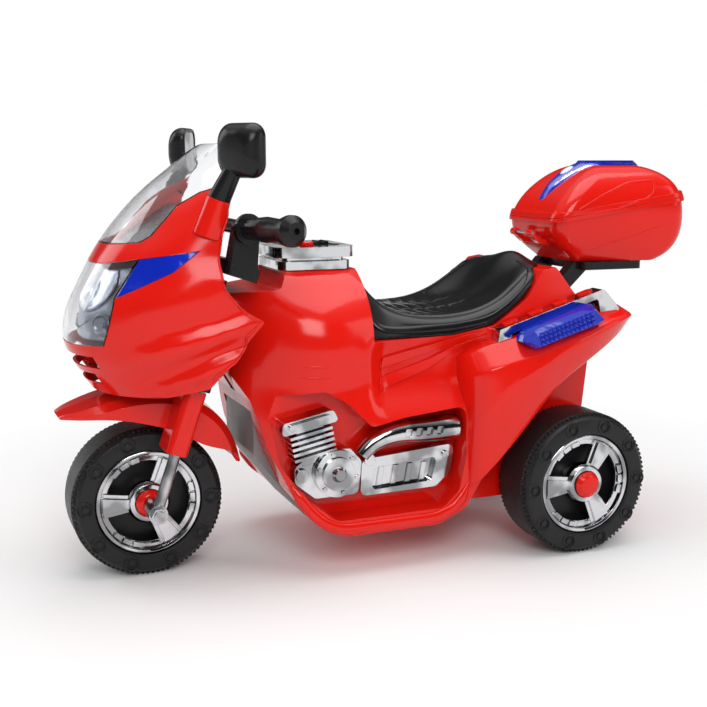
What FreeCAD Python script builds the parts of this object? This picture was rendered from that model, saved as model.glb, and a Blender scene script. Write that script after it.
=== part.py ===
import FreeCAD, Part
import math
import os

# Kids electric motorbike with three wheels, a swinging front fairing and a rear top case.
# Millimetres, +X forward, +Y left, +Z up, wheels on Z = 0, origin under the middle of the length.

os.makedirs("parts", exist_ok=True)
V = FreeCAD.Vector

# Driving dimensions
WHEEL_R = 85.0
WHEEL_HALF = 32.0
FRONT_AXLE_X = 293.0
REAR_AXLE_X = -199.0
REAR_WHEEL_Y = 126.0
AXLE_R = 6.0
AXLE_BORE_R = AXLE_R + 0.08
RAKE_DEG = 19.0
GAP = 0.3
RUN = 0.06
PUSH = 0.02
WALL = 4.0

# Wheel
HUB_R = 16.0
WEB_HALF = 4.0
RIM_R = 60.0
RIM_FACE = 30.0
RIM_BACK = 20.0
SHOULDER_DROP = 7.0
SIDEWALL_FOOT = 3.0
TREAD_POCKET_R = 76.0
SIDEWALL_IN = 24.0
CAP_R = 15.5
CAP_HEIGHT = 8.0
DIMPLES = 10
DIMPLE_R = 6.0
DIMPLE_CORE_R = 3.6
DIMPLE_DEPTH = 1.5
SPOKES = 3

# Fork and steering column, lengths along the raked steering axis from the front axle
LEG_Y = 70.0
LEG_R = 6.25
CROWN_LOW = 142.0
CROWN_HIGH = 158.0
STEM_R = 11.0
HEAD_LOW = 172.0
HEAD_HIGH = 262.0
HEAD_R = 19.0
BUSH_R = 14.0
BUSH_LENGTH = 18.0
STEM_TOP = 287.0

# Nose levels: height, front x, half width
NOSE_BACK_X = 175.0
NOSE_POWER = 2.3
NOSE_WALL = 3.2
NOSE_LEVELS = [
    (205.0, 338.0, 98.0),
    (235.0, 358.0, 110.0),
    (268.0, 373.0, 119.0),
    (300.0, 370.0, 121.0),
    (336.0, 353.0, 120.0),
    (372.0, 332.0, 116.0),
    (406.0, 305.0, 108.0),
    (432.0, 278.0, 99.0),
    (462.0, 240.0, 80.0),
    (480.0, 213.0, 62.0),
]

# Main body
BODY_HALF = 104.0
NOSE_START_X = 85.0
NOSE_RUN = 125.0
SHOULDER_Z = 250.0
TANK_CROWN = 100.0
TAIL_CROWN = 200.0
FLARE = 16.0
WAIST = 13.0
BARREL = 7.0
BARREL_X = 108.0
BODY_FLOOR = 47.0
BODY_TOP = 340.0
POCKET_FLOOR_Y = 86.0
POCKET_BOTTOM = 66.0
CORE_HALF = 86.0
KEEL_HALF = 55.0
KEEL_FRONT = 178.0
CORE_TOP = 300.0
KEEL_TOP = 240.0
KEEL_BACK = 104.0
BODY_TAIL_X = -212.0
HEAD_WEB_HALF = 9.0

# Console
CONSOLE_FOOT = BODY_TOP + GAP
PLATE_LOW = 354.0
PLATE_TOP = 366.0
PANEL_DEPTH = 4.0
WELL_FLOOR = 355.5
BUTTON_R = 8.0
BUTTON_FOOT = 359.0
BUTTON_TOP = 369.0
BUTTON_X = 100.0
BUTTON_Y = 20.0
ROCKER_X = 76.0
ROCKER_LONG = 12.0
ROCKER_WIDE = 22.0
ROCKER_FOOT = 358.0
ROCKER_TOP = 370.0
ROCKER_PIVOT_Z = 359.5
ROCKER_PIN_R = 1.5
ROCKER_PIN_OUT = 3.0

# Top case
LID_HINGE_X = -198.0
LID_HINGE_Z = 372.0
PART_FRONT_Z = 367.0
PART_FRONT_X = -209.0
PART_SLOPE = 0.2528
CASE_WALL = 3.5
CASE_LEVELS = [
    (337.0, -246.0, -354.0, 46.0, 70.0, 12.0),
    (352.0, -228.0, -376.0, 54.0, 80.0, 16.0),
    (375.0, -211.0, -387.0, 59.0, 86.0, 20.0),
    (410.0, -221.0, -387.0, 62.0, 87.0, 22.0),
    (432.0, -243.0, -379.0, 58.0, 82.0, 22.0),
    (447.0, -265.0, -362.0, 48.0, 68.0, 20.0),
    (455.0, -288.0, -338.0, 28.0, 40.0, 12.0),
]

# Drive and pedal
PEDAL_PIVOT_X = 88.0
PEDAL_PIVOT_Z = POCKET_BOTTOM + 11.0
PIN_R = 2.0
PIN_BORE_R = PIN_R + RUN


# Helpers
def unit(u, v):
    length = math.hypot(u, v)
    return u / length, v / length


def rounded_loop(corners, place):
    """Closed wire through corners (u, v, radius) set in space by place(u, v)."""
    count = len(corners)
    starts = []
    ends = []
    middles = []
    for index in range(count):
        before = corners[index - 1]
        here = corners[index]
        after = corners[(index + 1) % count]
        radius = here[2]
        au, av = unit(before[0] - here[0], before[1] - here[1])
        bu, bv = unit(after[0] - here[0], after[1] - here[1])
        if radius == 0:
            starts.append((here[0], here[1]))
            ends.append((here[0], here[1]))
            middles.append(None)
            continue
        half = math.acos(max(-1.0, min(1.0, au * bu + av * bv))) / 2
        run = radius / math.tan(half)
        mu, mv = unit(au + bu, av + bv)
        reach = radius / math.sin(half) - radius
        starts.append((here[0] + au * run, here[1] + av * run))
        ends.append((here[0] + bu * run, here[1] + bv * run))
        middles.append((here[0] + mu * reach, here[1] + mv * reach))
    edges = []
    for index in range(count):
        if middles[index]:
            a = place(*starts[index])
            m = place(*middles[index])
            b = place(*ends[index])
            edges.append(Part.Arc(a, m, b).toShape())
        line_from = place(*ends[index])
        line_to = place(*starts[(index + 1) % count])
        if line_from.distanceToPoint(line_to) > 1e-6:
            edges.append(Part.makeLine(line_from, line_to))
    return Part.Wire(edges)


def offset_loop(corners, distance):
    """Closed outline (u, v, radius) moved outward by a distance, inward if negative."""
    count = len(corners)
    area = 0.0
    for index in range(count):
        a = corners[index - 1]
        b = corners[index]
        area += a[0] * b[1] - b[0] * a[1]
    side = math.copysign(distance, area) if distance > 0 else -math.copysign(distance, area)
    result = []
    for index in range(count):
        before = corners[index - 1]
        here = corners[index]
        after = corners[(index + 1) % count]
        au, av = unit(here[0] - before[0], here[1] - before[1])
        bu, bv = unit(after[0] - here[0], after[1] - here[1])
        share = side / (1 + au * bu + av * bv)
        result.append((here[0] + (av + bv) * share, here[1] - (au + bu) * share, here[2]))
    return result


def on_line(points, x):
    """Height of a line through (x, z) points sorted by falling x."""
    for (x0, z0), (x1, z1) in zip(points, points[1:]):
        if x >= x1:
            break
    return z0 + (z1 - z0) * (x0 - x) / (x0 - x1)


def on_curve(rows, key, column):
    """Smooth value of one column between rows sorted by their rising first column."""
    index = 0
    while index < len(rows) - 2 and key > rows[index + 1][0]:
        index += 1
    a = rows[max(0, index - 1)]
    b = rows[index]
    c = rows[index + 1]
    d = rows[min(len(rows) - 1, index + 2)]
    span = c[0] - b[0]
    t = (key - b[0]) / span
    rise_b = (c[column] - a[column]) / (c[0] - a[0]) * span
    rise_c = (d[column] - b[column]) / (d[0] - b[0]) * span
    return (b[column] * (2 * t ** 3 - 3 * t ** 2 + 1) + rise_b * (t ** 3 - 2 * t ** 2 + t)
            + c[column] * (3 * t ** 2 - 2 * t ** 3) + rise_c * (t ** 3 - t ** 2))


def bell(t):
    return max(0.0, 1 - t * t) ** 2


def sharp(points):
    return [(u, v, 0) for u, v in points]


def side_prism(corners, y0, y1):
    """Side-view outline (x, z, radius) from y0 to y1."""
    wire = rounded_loop(corners, lambda u, v: V(u, y0, v))
    return Part.Face(wire).extrude(V(0, y1 - y0, 0))


def plan_prism(corners, z0, z1):
    """Plan outline (x, y, radius) from z0 to z1."""
    wire = rounded_loop(corners, lambda u, v: V(u, v, z0))
    return Part.Face(wire).extrude(V(0, 0, z1 - z0))


def front_prism(corners, x0, x1):
    """Front-view outline (y, z, radius) from x0 to x1."""
    wire = rounded_loop(corners, lambda u, v: V(x0, u, v))
    return Part.Face(wire).extrude(V(x1 - x0, 0, 0))


def turned(corners):
    """Body turned about the Y axis at the origin, corners (radius, y, fillet)."""
    wire = rounded_loop(corners, lambda u, v: V(u, v, 0))
    return Part.Face(wire).revolve(V(0, 0, 0), V(0, 1, 0), 360)


def rod_y(x, y0, y1, z, radius):
    return Part.makeCylinder(radius, y1 - y0, V(x, y0, z), V(0, 1, 0))


def tube_y(x, y0, y1, z, radius, bore):
    return rod_y(x, y0, y1, z, radius).cut(rod_y(x, y0 - 1, y1 + 1, z, bore))


def block(x0, x1, y0, y1, z0, z1):
    return Part.makeBox(x1 - x0, y1 - y0, z1 - z0, V(x0, y0, z0))


def spline(points, knots):
    curve = Part.BSplineCurve()
    curve.interpolate(Points=points, Parameters=[float(k) for k in knots])
    return curve.toShape()


def mirrored(shape):
    return shape.mirror(V(0, 0, 0), V(0, 1, 0))


def moved(shape, x, y, z):
    copy = shape.copy()
    copy.translate(V(x, y, z))
    return copy


def smooth(start, stop, value):
    t = max(0.0, min(1.0, (value - start) / (stop - start)))
    return t * t * (3 - 2 * t)


def largest(shape):
    return max(shape.Solids, key=lambda solid: solid.Volume)


def save(name, *shapes):
    whole = shapes[0] if len(shapes) == 1 else Part.makeCompound(list(shapes))
    whole.exportStep("parts/" + name + ".step")


def save_pair(name, left):
    save(name + "_left", left)
    save(name + "_right", mirrored(left))


def save_both(name, left):
    save(name, left, mirrored(left))


def raked(shape):
    """Turn a piece built upright over the front axle back by the rake."""
    copy = shape.copy()
    copy.rotate(V(FRONT_AXLE_X, 0, WHEEL_R), V(0, 1, 0), -RAKE_DEG)
    return copy


def stem_rod(low, high, radius):
    base = V(FRONT_AXLE_X, 0, WHEEL_R + low)
    return raked(Part.makeCylinder(radius, high - low, base, V(0, 0, 1)))


# Wheels, built at the origin with the axle along Y
def make_tyre():
    half = [
        (AXLE_BORE_R, WHEEL_HALF, 0),
        (HUB_R, WHEEL_HALF, 0),
        (HUB_R, WEB_HALF, 0),
        (TREAD_POCKET_R, WEB_HALF, 3),
        (TREAD_POCKET_R, SIDEWALL_IN, 2),
        (RIM_R + GAP, SIDEWALL_IN, 0),
        (RIM_R + GAP, WHEEL_HALF - 1, 0),
        (RIM_R + SIDEWALL_FOOT, WHEEL_HALF, 1),
        (WHEEL_R - SHOULDER_DROP, WHEEL_HALF, 2),
        (WHEEL_R - 4, WHEEL_HALF - 4, 1),
        (WHEEL_R - 2.5, WHEEL_HALF - 7, 1),
        (WHEEL_R, WHEEL_HALF - 9.5, 2),
    ]
    other = [(r, -y, f) for r, y, f in reversed(half)]
    tyre = turned(half + other)
    ring_r = (RIM_R + SIDEWALL_FOOT + WHEEL_R - SHOULDER_DROP) / 2
    cutters = []
    for index in range(DIMPLES):
        turn = 2 * math.pi * index / DIMPLES
        x = ring_r * math.cos(turn)
        z = ring_r * math.sin(turn)
        for side in (1, -1):
            low = min(side * (WHEEL_HALF - DIMPLE_DEPTH), side * (WHEEL_HALF + DIMPLE_DEPTH))
            cutters.append(tube_y(x, low, low + 2 * DIMPLE_DEPTH, z, DIMPLE_R, DIMPLE_CORE_R))
    return tyre.cut(cutters)


def make_rim():
    ring = turned([
        (47.0, RIM_BACK, 0),
        (RIM_R, RIM_BACK, 0),
        (RIM_R, RIM_FACE - 2, 0),
        (58.0, RIM_FACE, 1),
        (54.5, RIM_FACE - 1, 0),
        (53.0, RIM_FACE - 5.5, 0),
        (47.0, RIM_FACE - 6.5, 1),
    ])
    hub = turned([
        (HUB_R + GAP, WEB_HALF + GAP, 0),
        (20.0, WEB_HALF + GAP, 0),
        (20.0, RIM_BACK, 0),
        (25.0, RIM_BACK + 1, 0),
        (24.0, RIM_FACE - 3, 1),
        (21.0, RIM_FACE + 1.5, 1),
        (HUB_R + GAP, RIM_FACE + 1.5, 0),
    ])
    spoke = side_prism(sharp([(18.0, -9.0), (50.0, -14.0), (50.0, 14.0), (18.0, 9.0)]), RIM_BACK + 0.5,
                       RIM_FACE - 4)
    ridge = side_prism([(22.0, -5.0, 1), (51.0, -9.5, 1), (51.0, 9.5, 1), (22.0, 5.0, 1)], RIM_BACK + 4,
                       RIM_FACE - 1.5)
    pad = side_prism([(47.5, -5.0, 1), (53.0, -5.0, 1), (53.0, 5.0, 1), (47.5, 5.0, 1)], RIM_BACK + 2,
                     RIM_FACE - 2.5)
    clear = rod_y(0, 0, 40, 0, HUB_R + GAP)
    pieces = [hub]
    for index in range(SPOKES):
        turn = 360.0 * index / SPOKES
        for shape, offset in ((spoke, 0), (ridge, 0), (pad, 46), (pad, 60), (pad, 74)):
            copy = shape.copy()
            copy.rotate(V(0, 0, 0), V(0, 1, 0), turn + offset)
            pieces.append(copy)
    return ring.fuse(pieces).cut(clear).removeSplitter()


def make_cap(bore, cavity_r, cavity_depth):
    base = WHEEL_HALF + GAP
    cap = turned([
        (0.0, base, 0),
        (CAP_R, base, 0),
        (CAP_R, base + 2, 1),
        (11.0, base + CAP_HEIGHT - 1.5, 4),
        (0.0, base + CAP_HEIGHT, 0),
    ])
    if bore:
        cap = cap.cut(rod_y(0, 0, 60, 0, bore))
    if cavity_r:
        cap = cap.cut(rod_y(0, 0, base + cavity_depth, 0, cavity_r))
    return cap


tyre = make_tyre()
rim = make_rim()
front_cap = make_cap(AXLE_BORE_R + GAP, 0, 0)
rear_cap = make_cap(0, 11.0, 5.5)
front_at = (FRONT_AXLE_X, 0, WHEEL_R)
save("front_tyre", moved(tyre, *front_at))
save("front_rims", moved(rim, *front_at), moved(mirrored(rim), *front_at))
save("front_hub_caps", moved(front_cap, *front_at), moved(mirrored(front_cap), *front_at))
rear_at = (REAR_AXLE_X, REAR_WHEEL_Y, WHEEL_R)
save_pair("rear_tyre", moved(tyre, *rear_at))
save_pair("rear_rim", moved(rim, *rear_at))
save_pair("rear_hub_cap", moved(rear_cap, *rear_at))

# Front axle, spacers and nuts
spacer_in = WHEEL_HALF + CAP_HEIGHT + 2 * GAP
leg_face = LEG_Y - LEG_R - 1.5
nut_face = LEG_Y + LEG_R + 1.5
save("front_axle", rod_y(FRONT_AXLE_X, -nut_face - 8, nut_face + 8, WHEEL_R, AXLE_R))
spacer = tube_y(FRONT_AXLE_X, spacer_in, leg_face - GAP, WHEEL_R, 9.0, AXLE_R)
nut_hex = [(FRONT_AXLE_X + 9.5 * math.cos(math.radians(60 * k)),
            WHEEL_R + 9.5 * math.sin(math.radians(60 * k)), 0) for k in range(6)]
nut = side_prism(nut_hex, nut_face, nut_face + 6.5)
nut = nut.cut(rod_y(FRONT_AXLE_X, 0, 120, WHEEL_R, AXLE_R))
save("front_axle_hardware", spacer, mirrored(spacer), nut, mirrored(nut))

# Fork, built upright over the axle
leg_top = WHEEL_R + CROWN_HIGH
leg = Part.makeCylinder(LEG_R, CROWN_HIGH, V(FRONT_AXLE_X, LEG_Y, WHEEL_R), V(0, 0, 1))
eye = rod_y(FRONT_AXLE_X, leg_face, nut_face - GAP, WHEEL_R, 10.5)
leg = leg.fuse(eye).cut(rod_y(FRONT_AXLE_X, 0, 120, WHEEL_R, AXLE_R))
save_both("fork_legs", raked(leg.removeSplitter()))
crown_low = WHEEL_R + CROWN_LOW
crown = plan_prism([
    (FRONT_AXLE_X - 15, -LEG_Y - 12, 8), (FRONT_AXLE_X + 15, -LEG_Y - 12, 8),
    (FRONT_AXLE_X + 18, 0, 30), (FRONT_AXLE_X + 15, LEG_Y + 12, 8),
    (FRONT_AXLE_X - 15, LEG_Y + 12, 8), (FRONT_AXLE_X - 18, 0, 30),
], crown_low, leg_top)
for y, radius in ((LEG_Y, LEG_R), (-LEG_Y, LEG_R), (0, STEM_R)):
    hole = Part.makeCylinder(radius, 60, V(FRONT_AXLE_X, y, crown_low - 20), V(0, 0, 1))
    crown = crown.cut(hole)
save("fork_crown", raked(crown))
stem = stem_rod(CROWN_LOW, STEM_TOP, STEM_R)
save("steering_stem", stem.cut(stem_rod(CROWN_LOW - 5, STEM_TOP + 5, STEM_R - 2)))


# Front fender: arched channel, sections turned about the front axle
FENDER_WALL = 3.5
FENDER_SECTIONS = [
    (48.0, 141.0, 136.0, 20.0), (54.0, 136.0, 126.0, 34.0), (62.0, 131.0, 116.0, 43.0),
    (75.0, 127.5, 103.0, 46.0), (90.0, 126.5, 93.0, 47.0), (105.0, 127.0, 88.0, 47.0),
    (120.0, 127.0, 86.0, 47.0), (134.0, 124.0, 89.0, 46.0), (147.0, 119.0, 102.0, 43.0),
    (160.0, 114.0, 109.5, 34.0),
]


def fender_section(angle, top, low, half):
    chamfer = min(10.0, (top - low) * 0.6)
    inner = top - FENDER_WALL
    side = half - FENDER_WALL
    lows = min(low, inner - 0.5)
    shape = [
        (half, lows), (half, top - chamfer), (half - chamfer, top - 1.5), (0.0, top),
        (-half + chamfer, top - 1.5), (-half, top - chamfer), (-half, lows),
        (-side, lows), (-side, inner - chamfer * 0.8), (-side + chamfer, inner - 1.5),
        (0.0, inner), (side - chamfer, inner - 1.5), (side, inner - chamfer * 0.8), (side, lows),
    ]
    turn = math.radians(angle)
    points = []
    for y, r in shape:
        points.append(V(FRONT_AXLE_X + r * math.cos(turn), y, WHEEL_R + r * math.sin(turn)))
    return Part.makePolygon(points + [points[0]])


fender = Part.makeLoft([fender_section(*row) for row in FENDER_SECTIONS], True, False)
sleeve_base = WHEEL_R + 68
sleeve_outline = [(FRONT_AXLE_X - 13, 40.0, 0), (FRONT_AXLE_X + 13, 40.0, 0),
                  (FRONT_AXLE_X + 12, LEG_Y + 11, 8),
                  (FRONT_AXLE_X - 12, LEG_Y + 11, 8)]
sleeve = plan_prism(sleeve_outline, sleeve_base, WHEEL_R + CROWN_LOW - 2)
leg_hole = Part.makeCylinder(LEG_R + GAP, 200, V(FRONT_AXLE_X, LEG_Y, WHEEL_R), V(0, 0, 1))
inside = block(FRONT_AXLE_X - 60, FRONT_AXLE_X + 60, 0, 43.0, WHEEL_R, WHEEL_R + 200)
sleeve = raked(sleeve.cut(leg_hole).cut(inside))
fender = fender.fuse([sleeve, mirrored(sleeve)])
leg_clear = raked(leg_hole)
fender = fender.cut([leg_clear, mirrored(leg_clear)])
save("front_fender", fender.removeSplitter())


# Nose: fairing, lenses, windshield and dash share one lofted surface
NOSE_HEIGHTS = [205.0, 214.0, 223.0, 232.0, 241.0, 250.0, 259.0, 268.0, 277.0, 286.0, 296.0, 308.0,
                322.0, 338.0,
                356.0, 376.0, 398.0, 418.0, 438.0, 460.0, 480.0]
RIDGE = [(400.0, 233.0), (186.0, 297.0)]
RIDGE_LOW = [(330.0, 208.0), (225.0, 250.0)]
VALLEY = [(300.0, 235.0), (205.0, 275.0)]
CREASE = [(400.0, 296.0), (304.0, 333.0), (186.0, 353.0)]


def sculpt(x, z):
    """Bulge of the flank at a side-view point: two ridges, the scoop between and a crease."""
    ridge = 5.0 * bell((z - on_line(RIDGE, x)) / 18) * smooth(352, 325, x)
    ridge_low = 3.0 * bell((z - on_line(RIDGE_LOW, x)) / 15) * smooth(335, 315, x)
    valley = -5.0 * bell((z - on_line(VALLEY, x)) / 17) * smooth(318, 298, x) * smooth(190, 210, x)
    over = z - on_line(CREASE, x)
    crease = 3.0 * smooth(7, -7, over) * smooth(-48, -20, over) * smooth(345, 320, x)
    return ridge + ridge_low + valley + crease


def nose_arc(z, inset, steps=36):
    front = on_curve(NOSE_LEVELS, z, 1) - inset
    half = on_curve(NOSE_LEVELS, z, 2) - inset
    points = []
    for step in range(steps + 1):
        turn = math.pi * (step / steps - 0.5)
        c = max(0.0, math.cos(turn)) ** (2 / NOSE_POWER)
        s = math.copysign(abs(math.sin(turn)) ** (2 / NOSE_POWER), math.sin(turn))
        x = NOSE_BACK_X + (front - NOSE_BACK_X) * c
        points.append(V(x, (half + sculpt(x, z)) * s, z))
    return points


def nose_shell(outer_inset, inner_inset):
    wires = []
    for z in NOSE_HEIGHTS:
        outer = nose_arc(z, outer_inset)
        inner = nose_arc(z, inner_inset)
        inner.reverse()
        knots = range(len(outer))
        wires.append(Part.Wire([
            spline(outer, knots), Part.makeLine(outer[-1], inner[0]),
            spline(inner, knots), Part.makeLine(inner[-1], outer[0]),
        ]))
    return Part.makeLoft(wires, True, False)


def nose_fill(inset):
    wires = []
    for z in NOSE_HEIGHTS:
        outer = nose_arc(z, inset)
        wires.append(Part.Wire([spline(outer, range(len(outer))), Part.makeLine(outer[-1], outer[0])]))
    return Part.makeLoft(wires, True, False)


def through(points):
    """Side-view outline through the whole nose."""
    return side_prism(points, -NOSE_REACH, NOSE_REACH)


# Side-view seam between fairing and windshield, the fairing's edge, and the two lenses
NOSE_REACH = 140.0
SEAM = [(352.0, 371.0), (334.0, 373.5), (302.0, 378.0), (291.0, 385.0), (264.0, 415.0), (240.0, 429.0),
        (206.0, 440.0)]
FAIRING_BACK = [(211.0, 430.0), (216.0, 414.0), (225.0, 387.0), (230.0, 360.0), (226.0, 331.0),
                (210.0, 311.0),
                (185.0, 296.0), (210.0, 261.0), (239.0, 224.0), (280.0, 215.0), (330.0, 215.0),
                (400.0, 222.0)]
LENS_LOW = (330.0, 322.0)
LENS_HIGH = (304.0, 362.3)
LAMP_FRONT = sharp([(400.0, 268.0), (343.0, 272.0), LENS_LOW, LENS_HIGH, (345.0, 354.0), (400.0, 354.0)])
LAMP_SIDE = sharp([LENS_LOW, (275.0, 349.0), (247.0, 371.0), LENS_HIGH])
LENS_GAP = 0.4

nose = nose_shell(0.0, NOSE_WALL)
fairing = nose.common(through(sharp(SEAM) + [(x, z, 3) for x, z in FAIRING_BACK]))
fairing = fairing.cut([through(LAMP_FRONT), through(LAMP_SIDE)])

# Mouth slots under the lamp
MOUTH = [(246.0, 259.0, 58.0), (228.0, 239.0, 46.0)]
fairing = fairing.cut([block(300, 400, -half, half, low, high) for low, high, half in MOUTH])

# Mirror ears on the fairing
EAR = V(226.0, 105.0, 423.0)
EAR_FOOT = V(238.0, 99.0, 386.0)
EAR_R = 12.5
EAR_FOOT_R = 16.0
ear_way = (EAR - EAR_FOOT).normalize()
ear_length = EAR_FOOT.distanceToPoint(EAR)
ear = Part.makeCone(EAR_FOOT_R, EAR_R, ear_length, EAR_FOOT, ear_way)
dash_fill = nose_fill(NOSE_WALL + GAP + 0.1)
ear = ear.cut(dash_fill)
STALK_TO = V(211.0, 117.0, 458.0)
STALK_R = 12.0
STALK_TOP_R = 9.0
stalk_length = EAR.distanceToPoint(STALK_TO)
ear_below = Part.makeCylinder(60, 60, EAR - ear_way * 60, ear_way)
stalk_clear = Part.makeCone(STALK_R + 4 * GAP, STALK_TOP_R + 4 * GAP, stalk_length, EAR, STALK_TO - EAR)
stalk_clear = stalk_clear.cut(ear_below)
fairing = fairing.fuse([ear, mirrored(ear)]).cut([stalk_clear, mirrored(stalk_clear)])
save("front_fairing", largest(fairing.removeSplitter()))

lamp_skin = nose_shell(LENS_GAP, NOSE_WALL - LENS_GAP)
save("headlamp_lens", lamp_skin.common(through(offset_loop(LAMP_FRONT, -LENS_GAP))))
save_both("marker_lenses", lamp_skin.common(side_prism(offset_loop(LAMP_SIDE, -LENS_GAP), 0, NOSE_REACH)))
REFLECTOR_SET = 12.0
reflector = nose_shell(NOSE_WALL + REFLECTOR_SET, NOSE_WALL + REFLECTOR_SET + 2)
bowl = sharp([(400.0, 263.0), (332.0, 264.0), (318.0, 322.0), (296.0, 362.0), (400.0, 361.0)])
save("headlamp_reflector", reflector.common(through(bowl)))

shield_skin = nose_shell(GAP, NOSE_WALL - GAP)
ear_clear = Part.makeCone(EAR_FOOT_R + 2 * GAP, EAR_R + 2 * GAP, ear_length, EAR_FOOT, ear_way)
ears_clear = [ear_clear, mirrored(ear_clear), stalk_clear, mirrored(stalk_clear)]
shield = [(x, z + GAP) for x, z in SEAM] + [(206.0, 482.0), (352.0, 482.0)]
save("windshield", largest(shield_skin.common(through(sharp(shield))).cut(ears_clear)))
DASH_LINE = [(330.0, 371.0), (300.0, 374.0), (240.0, 412.0)]
DASH_THICK = 5.0
dash_band = DASH_LINE + [(x, z - DASH_THICK) for x, z in reversed(DASH_LINE)]
dash = dash_fill.common(through(sharp(dash_band))).cut(reflector)
save("inner_dash", largest(dash.cut(ears_clear)))

floor_slab = block(FRONT_AXLE_X - 15, FRONT_AXLE_X + 92, -NOSE_REACH, NOSE_REACH, leg_top + GAP,
                   leg_top + GAP + 4)
fairing_floor = dash_fill.common(raked(floor_slab)).cut(stem_rod(0, 300, STEM_R + GAP)).cut(reflector)
save("fairing_floor", largest(fairing_floor))

# Mirrors: stalk with a cupped head and a glass set in it
MIRROR_AT = V(207.0, 121.0, 472.0)
MIRROR_TOE = 28.0


def mirror_section(depth, width, height, radius):
    w = width / 2
    h = height / 2
    corners = [(-w, -h, radius), (w, -h, radius), (w, h, radius), (-w, h, radius)]
    return rounded_loop(corners, lambda u, v: V(depth, u, v))


head = Part.makeLoft([
    mirror_section(-9.0, 54.0, 52.0, 13.0), mirror_section(-5.0, 57.0, 55.0, 14.0),
    mirror_section(3.0, 55.0, 53.0, 15.0), mirror_section(10.0, 46.0, 44.0, 15.0),
    mirror_section(14.0, 30.0, 28.0, 12.0),
], True, False)
glass_edge = [(-24.0, -23.0, 10), (24.0, -23.0, 10), (24.0, 23.0, 10), (-24.0, 23.0, 10)]
glass_seat = front_prism(glass_edge, -10, -6.0)
glass = front_prism(offset_loop(glass_edge, -GAP), -8.2, -6.2)


def place_mirror(shape):
    copy = shape.copy()
    copy.rotate(V(0, 0, 0), V(0, 0, 1), MIRROR_TOE)
    copy.translate(MIRROR_AT)
    return copy


stalk = Part.makeCone(STALK_R, STALK_TOP_R, stalk_length, EAR, STALK_TO - EAR)
seat_plane = moved(ear_below, *(ear_way * GAP))
housing = place_mirror(head).fuse(stalk.cut(seat_plane)).cut(place_mirror(glass_seat))
save_both("mirror_housings", housing.removeSplitter())
save_both("mirror_glasses", place_mirror(glass))

# Handlebar and grips, built upright over the front axle
BAR_LOW = 270.0
BAR_HIGH = 285.0
GRIP_IN = V(FRONT_AXLE_X + 6, 96.0, WHEEL_R + 322)
GRIP_OUT = V(FRONT_AXLE_X - 13, 186.0, WHEEL_R + 331)
POST_IN = 70.0
POST_OUT = 92.0
BAR_CORE_R = 7.0
GRIP_R = 11.5
GRIP_LONG = 90.0
FLANGE_R = 16.0
grip_way = (GRIP_OUT - GRIP_IN).normalize()
bar_base = plan_prism([
    (FRONT_AXLE_X - 25, -POST_OUT, 6), (FRONT_AXLE_X + 12, -POST_OUT, 6), (FRONT_AXLE_X + 20, -30, 12),
    (FRONT_AXLE_X + 20, 30, 12), (FRONT_AXLE_X + 12, POST_OUT, 6), (FRONT_AXLE_X - 25, POST_OUT, 6),
    (FRONT_AXLE_X - 27, 0, 40),
], WHEEL_R + BAR_LOW, WHEEL_R + BAR_HIGH)
post = side_prism([
    (FRONT_AXLE_X - 22, WHEEL_R + BAR_HIGH - 8, 0), (FRONT_AXLE_X + 10, WHEEL_R + BAR_HIGH - 8, 0),
    (FRONT_AXLE_X + 16, WHEEL_R + 322, 8), (FRONT_AXLE_X + 8, WHEEL_R + 335, 8),
    (FRONT_AXLE_X - 6, WHEEL_R + 333, 6), (FRONT_AXLE_X - 11, WHEEL_R + 318, 8),
], POST_IN, POST_OUT)
bar_end = Part.makeCylinder(BAR_CORE_R, 84, GRIP_IN - grip_way * 8, grip_way)
bridge = rod_y(FRONT_AXLE_X + 4, -POST_OUT + 4, POST_OUT - 4, WHEEL_R + 322, 8.0)
bore = Part.makeCylinder(STEM_R + PUSH, STEM_TOP, V(FRONT_AXLE_X, 0, WHEEL_R), V(0, 0, 1))
handlebar = bar_base.fuse([post, mirrored(post), bar_end, mirrored(bar_end), bridge])
handlebar = handlebar.cut(bore)
grip = Part.makeCylinder(GRIP_R, GRIP_LONG, GRIP_IN, grip_way)
for start, length, radius in ((0, 5, FLANGE_R), (78, 4, 14.5), (84, 6, FLANGE_R)):
    grip = grip.fuse(Part.makeCylinder(radius, length, GRIP_IN + grip_way * start, grip_way))
GRIP_SWELL = 2.0
for start, from_r, to_r in ((14, GRIP_R, GRIP_R + GRIP_SWELL), (41, GRIP_R + GRIP_SWELL, GRIP_R)):
    grip = grip.fuse(Part.makeCone(from_r, to_r, 27, GRIP_IN + grip_way * start, grip_way))
end_cone = Part.makeCone(FLANGE_R, 9.0, 7, GRIP_IN + grip_way * GRIP_LONG, grip_way)
end_hole = Part.makeCylinder(3.5, 12, GRIP_IN + grip_way * GRIP_LONG, grip_way)
grip = grip.fuse(end_cone).cut(end_hole)
post_clear = block(FRONT_AXLE_X - 60, FRONT_AXLE_X + 60, 0, POST_OUT + GAP, WHEEL_R + 200, WHEEL_R + 400)
grip = grip.cut(Part.makeCylinder(BAR_CORE_R + PUSH, 77, GRIP_IN - grip_way, grip_way)).cut(post_clear)
save("handlebar", raked(handlebar.removeSplitter()))
save_both("grips", raked(grip.removeSplitter()))

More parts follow.
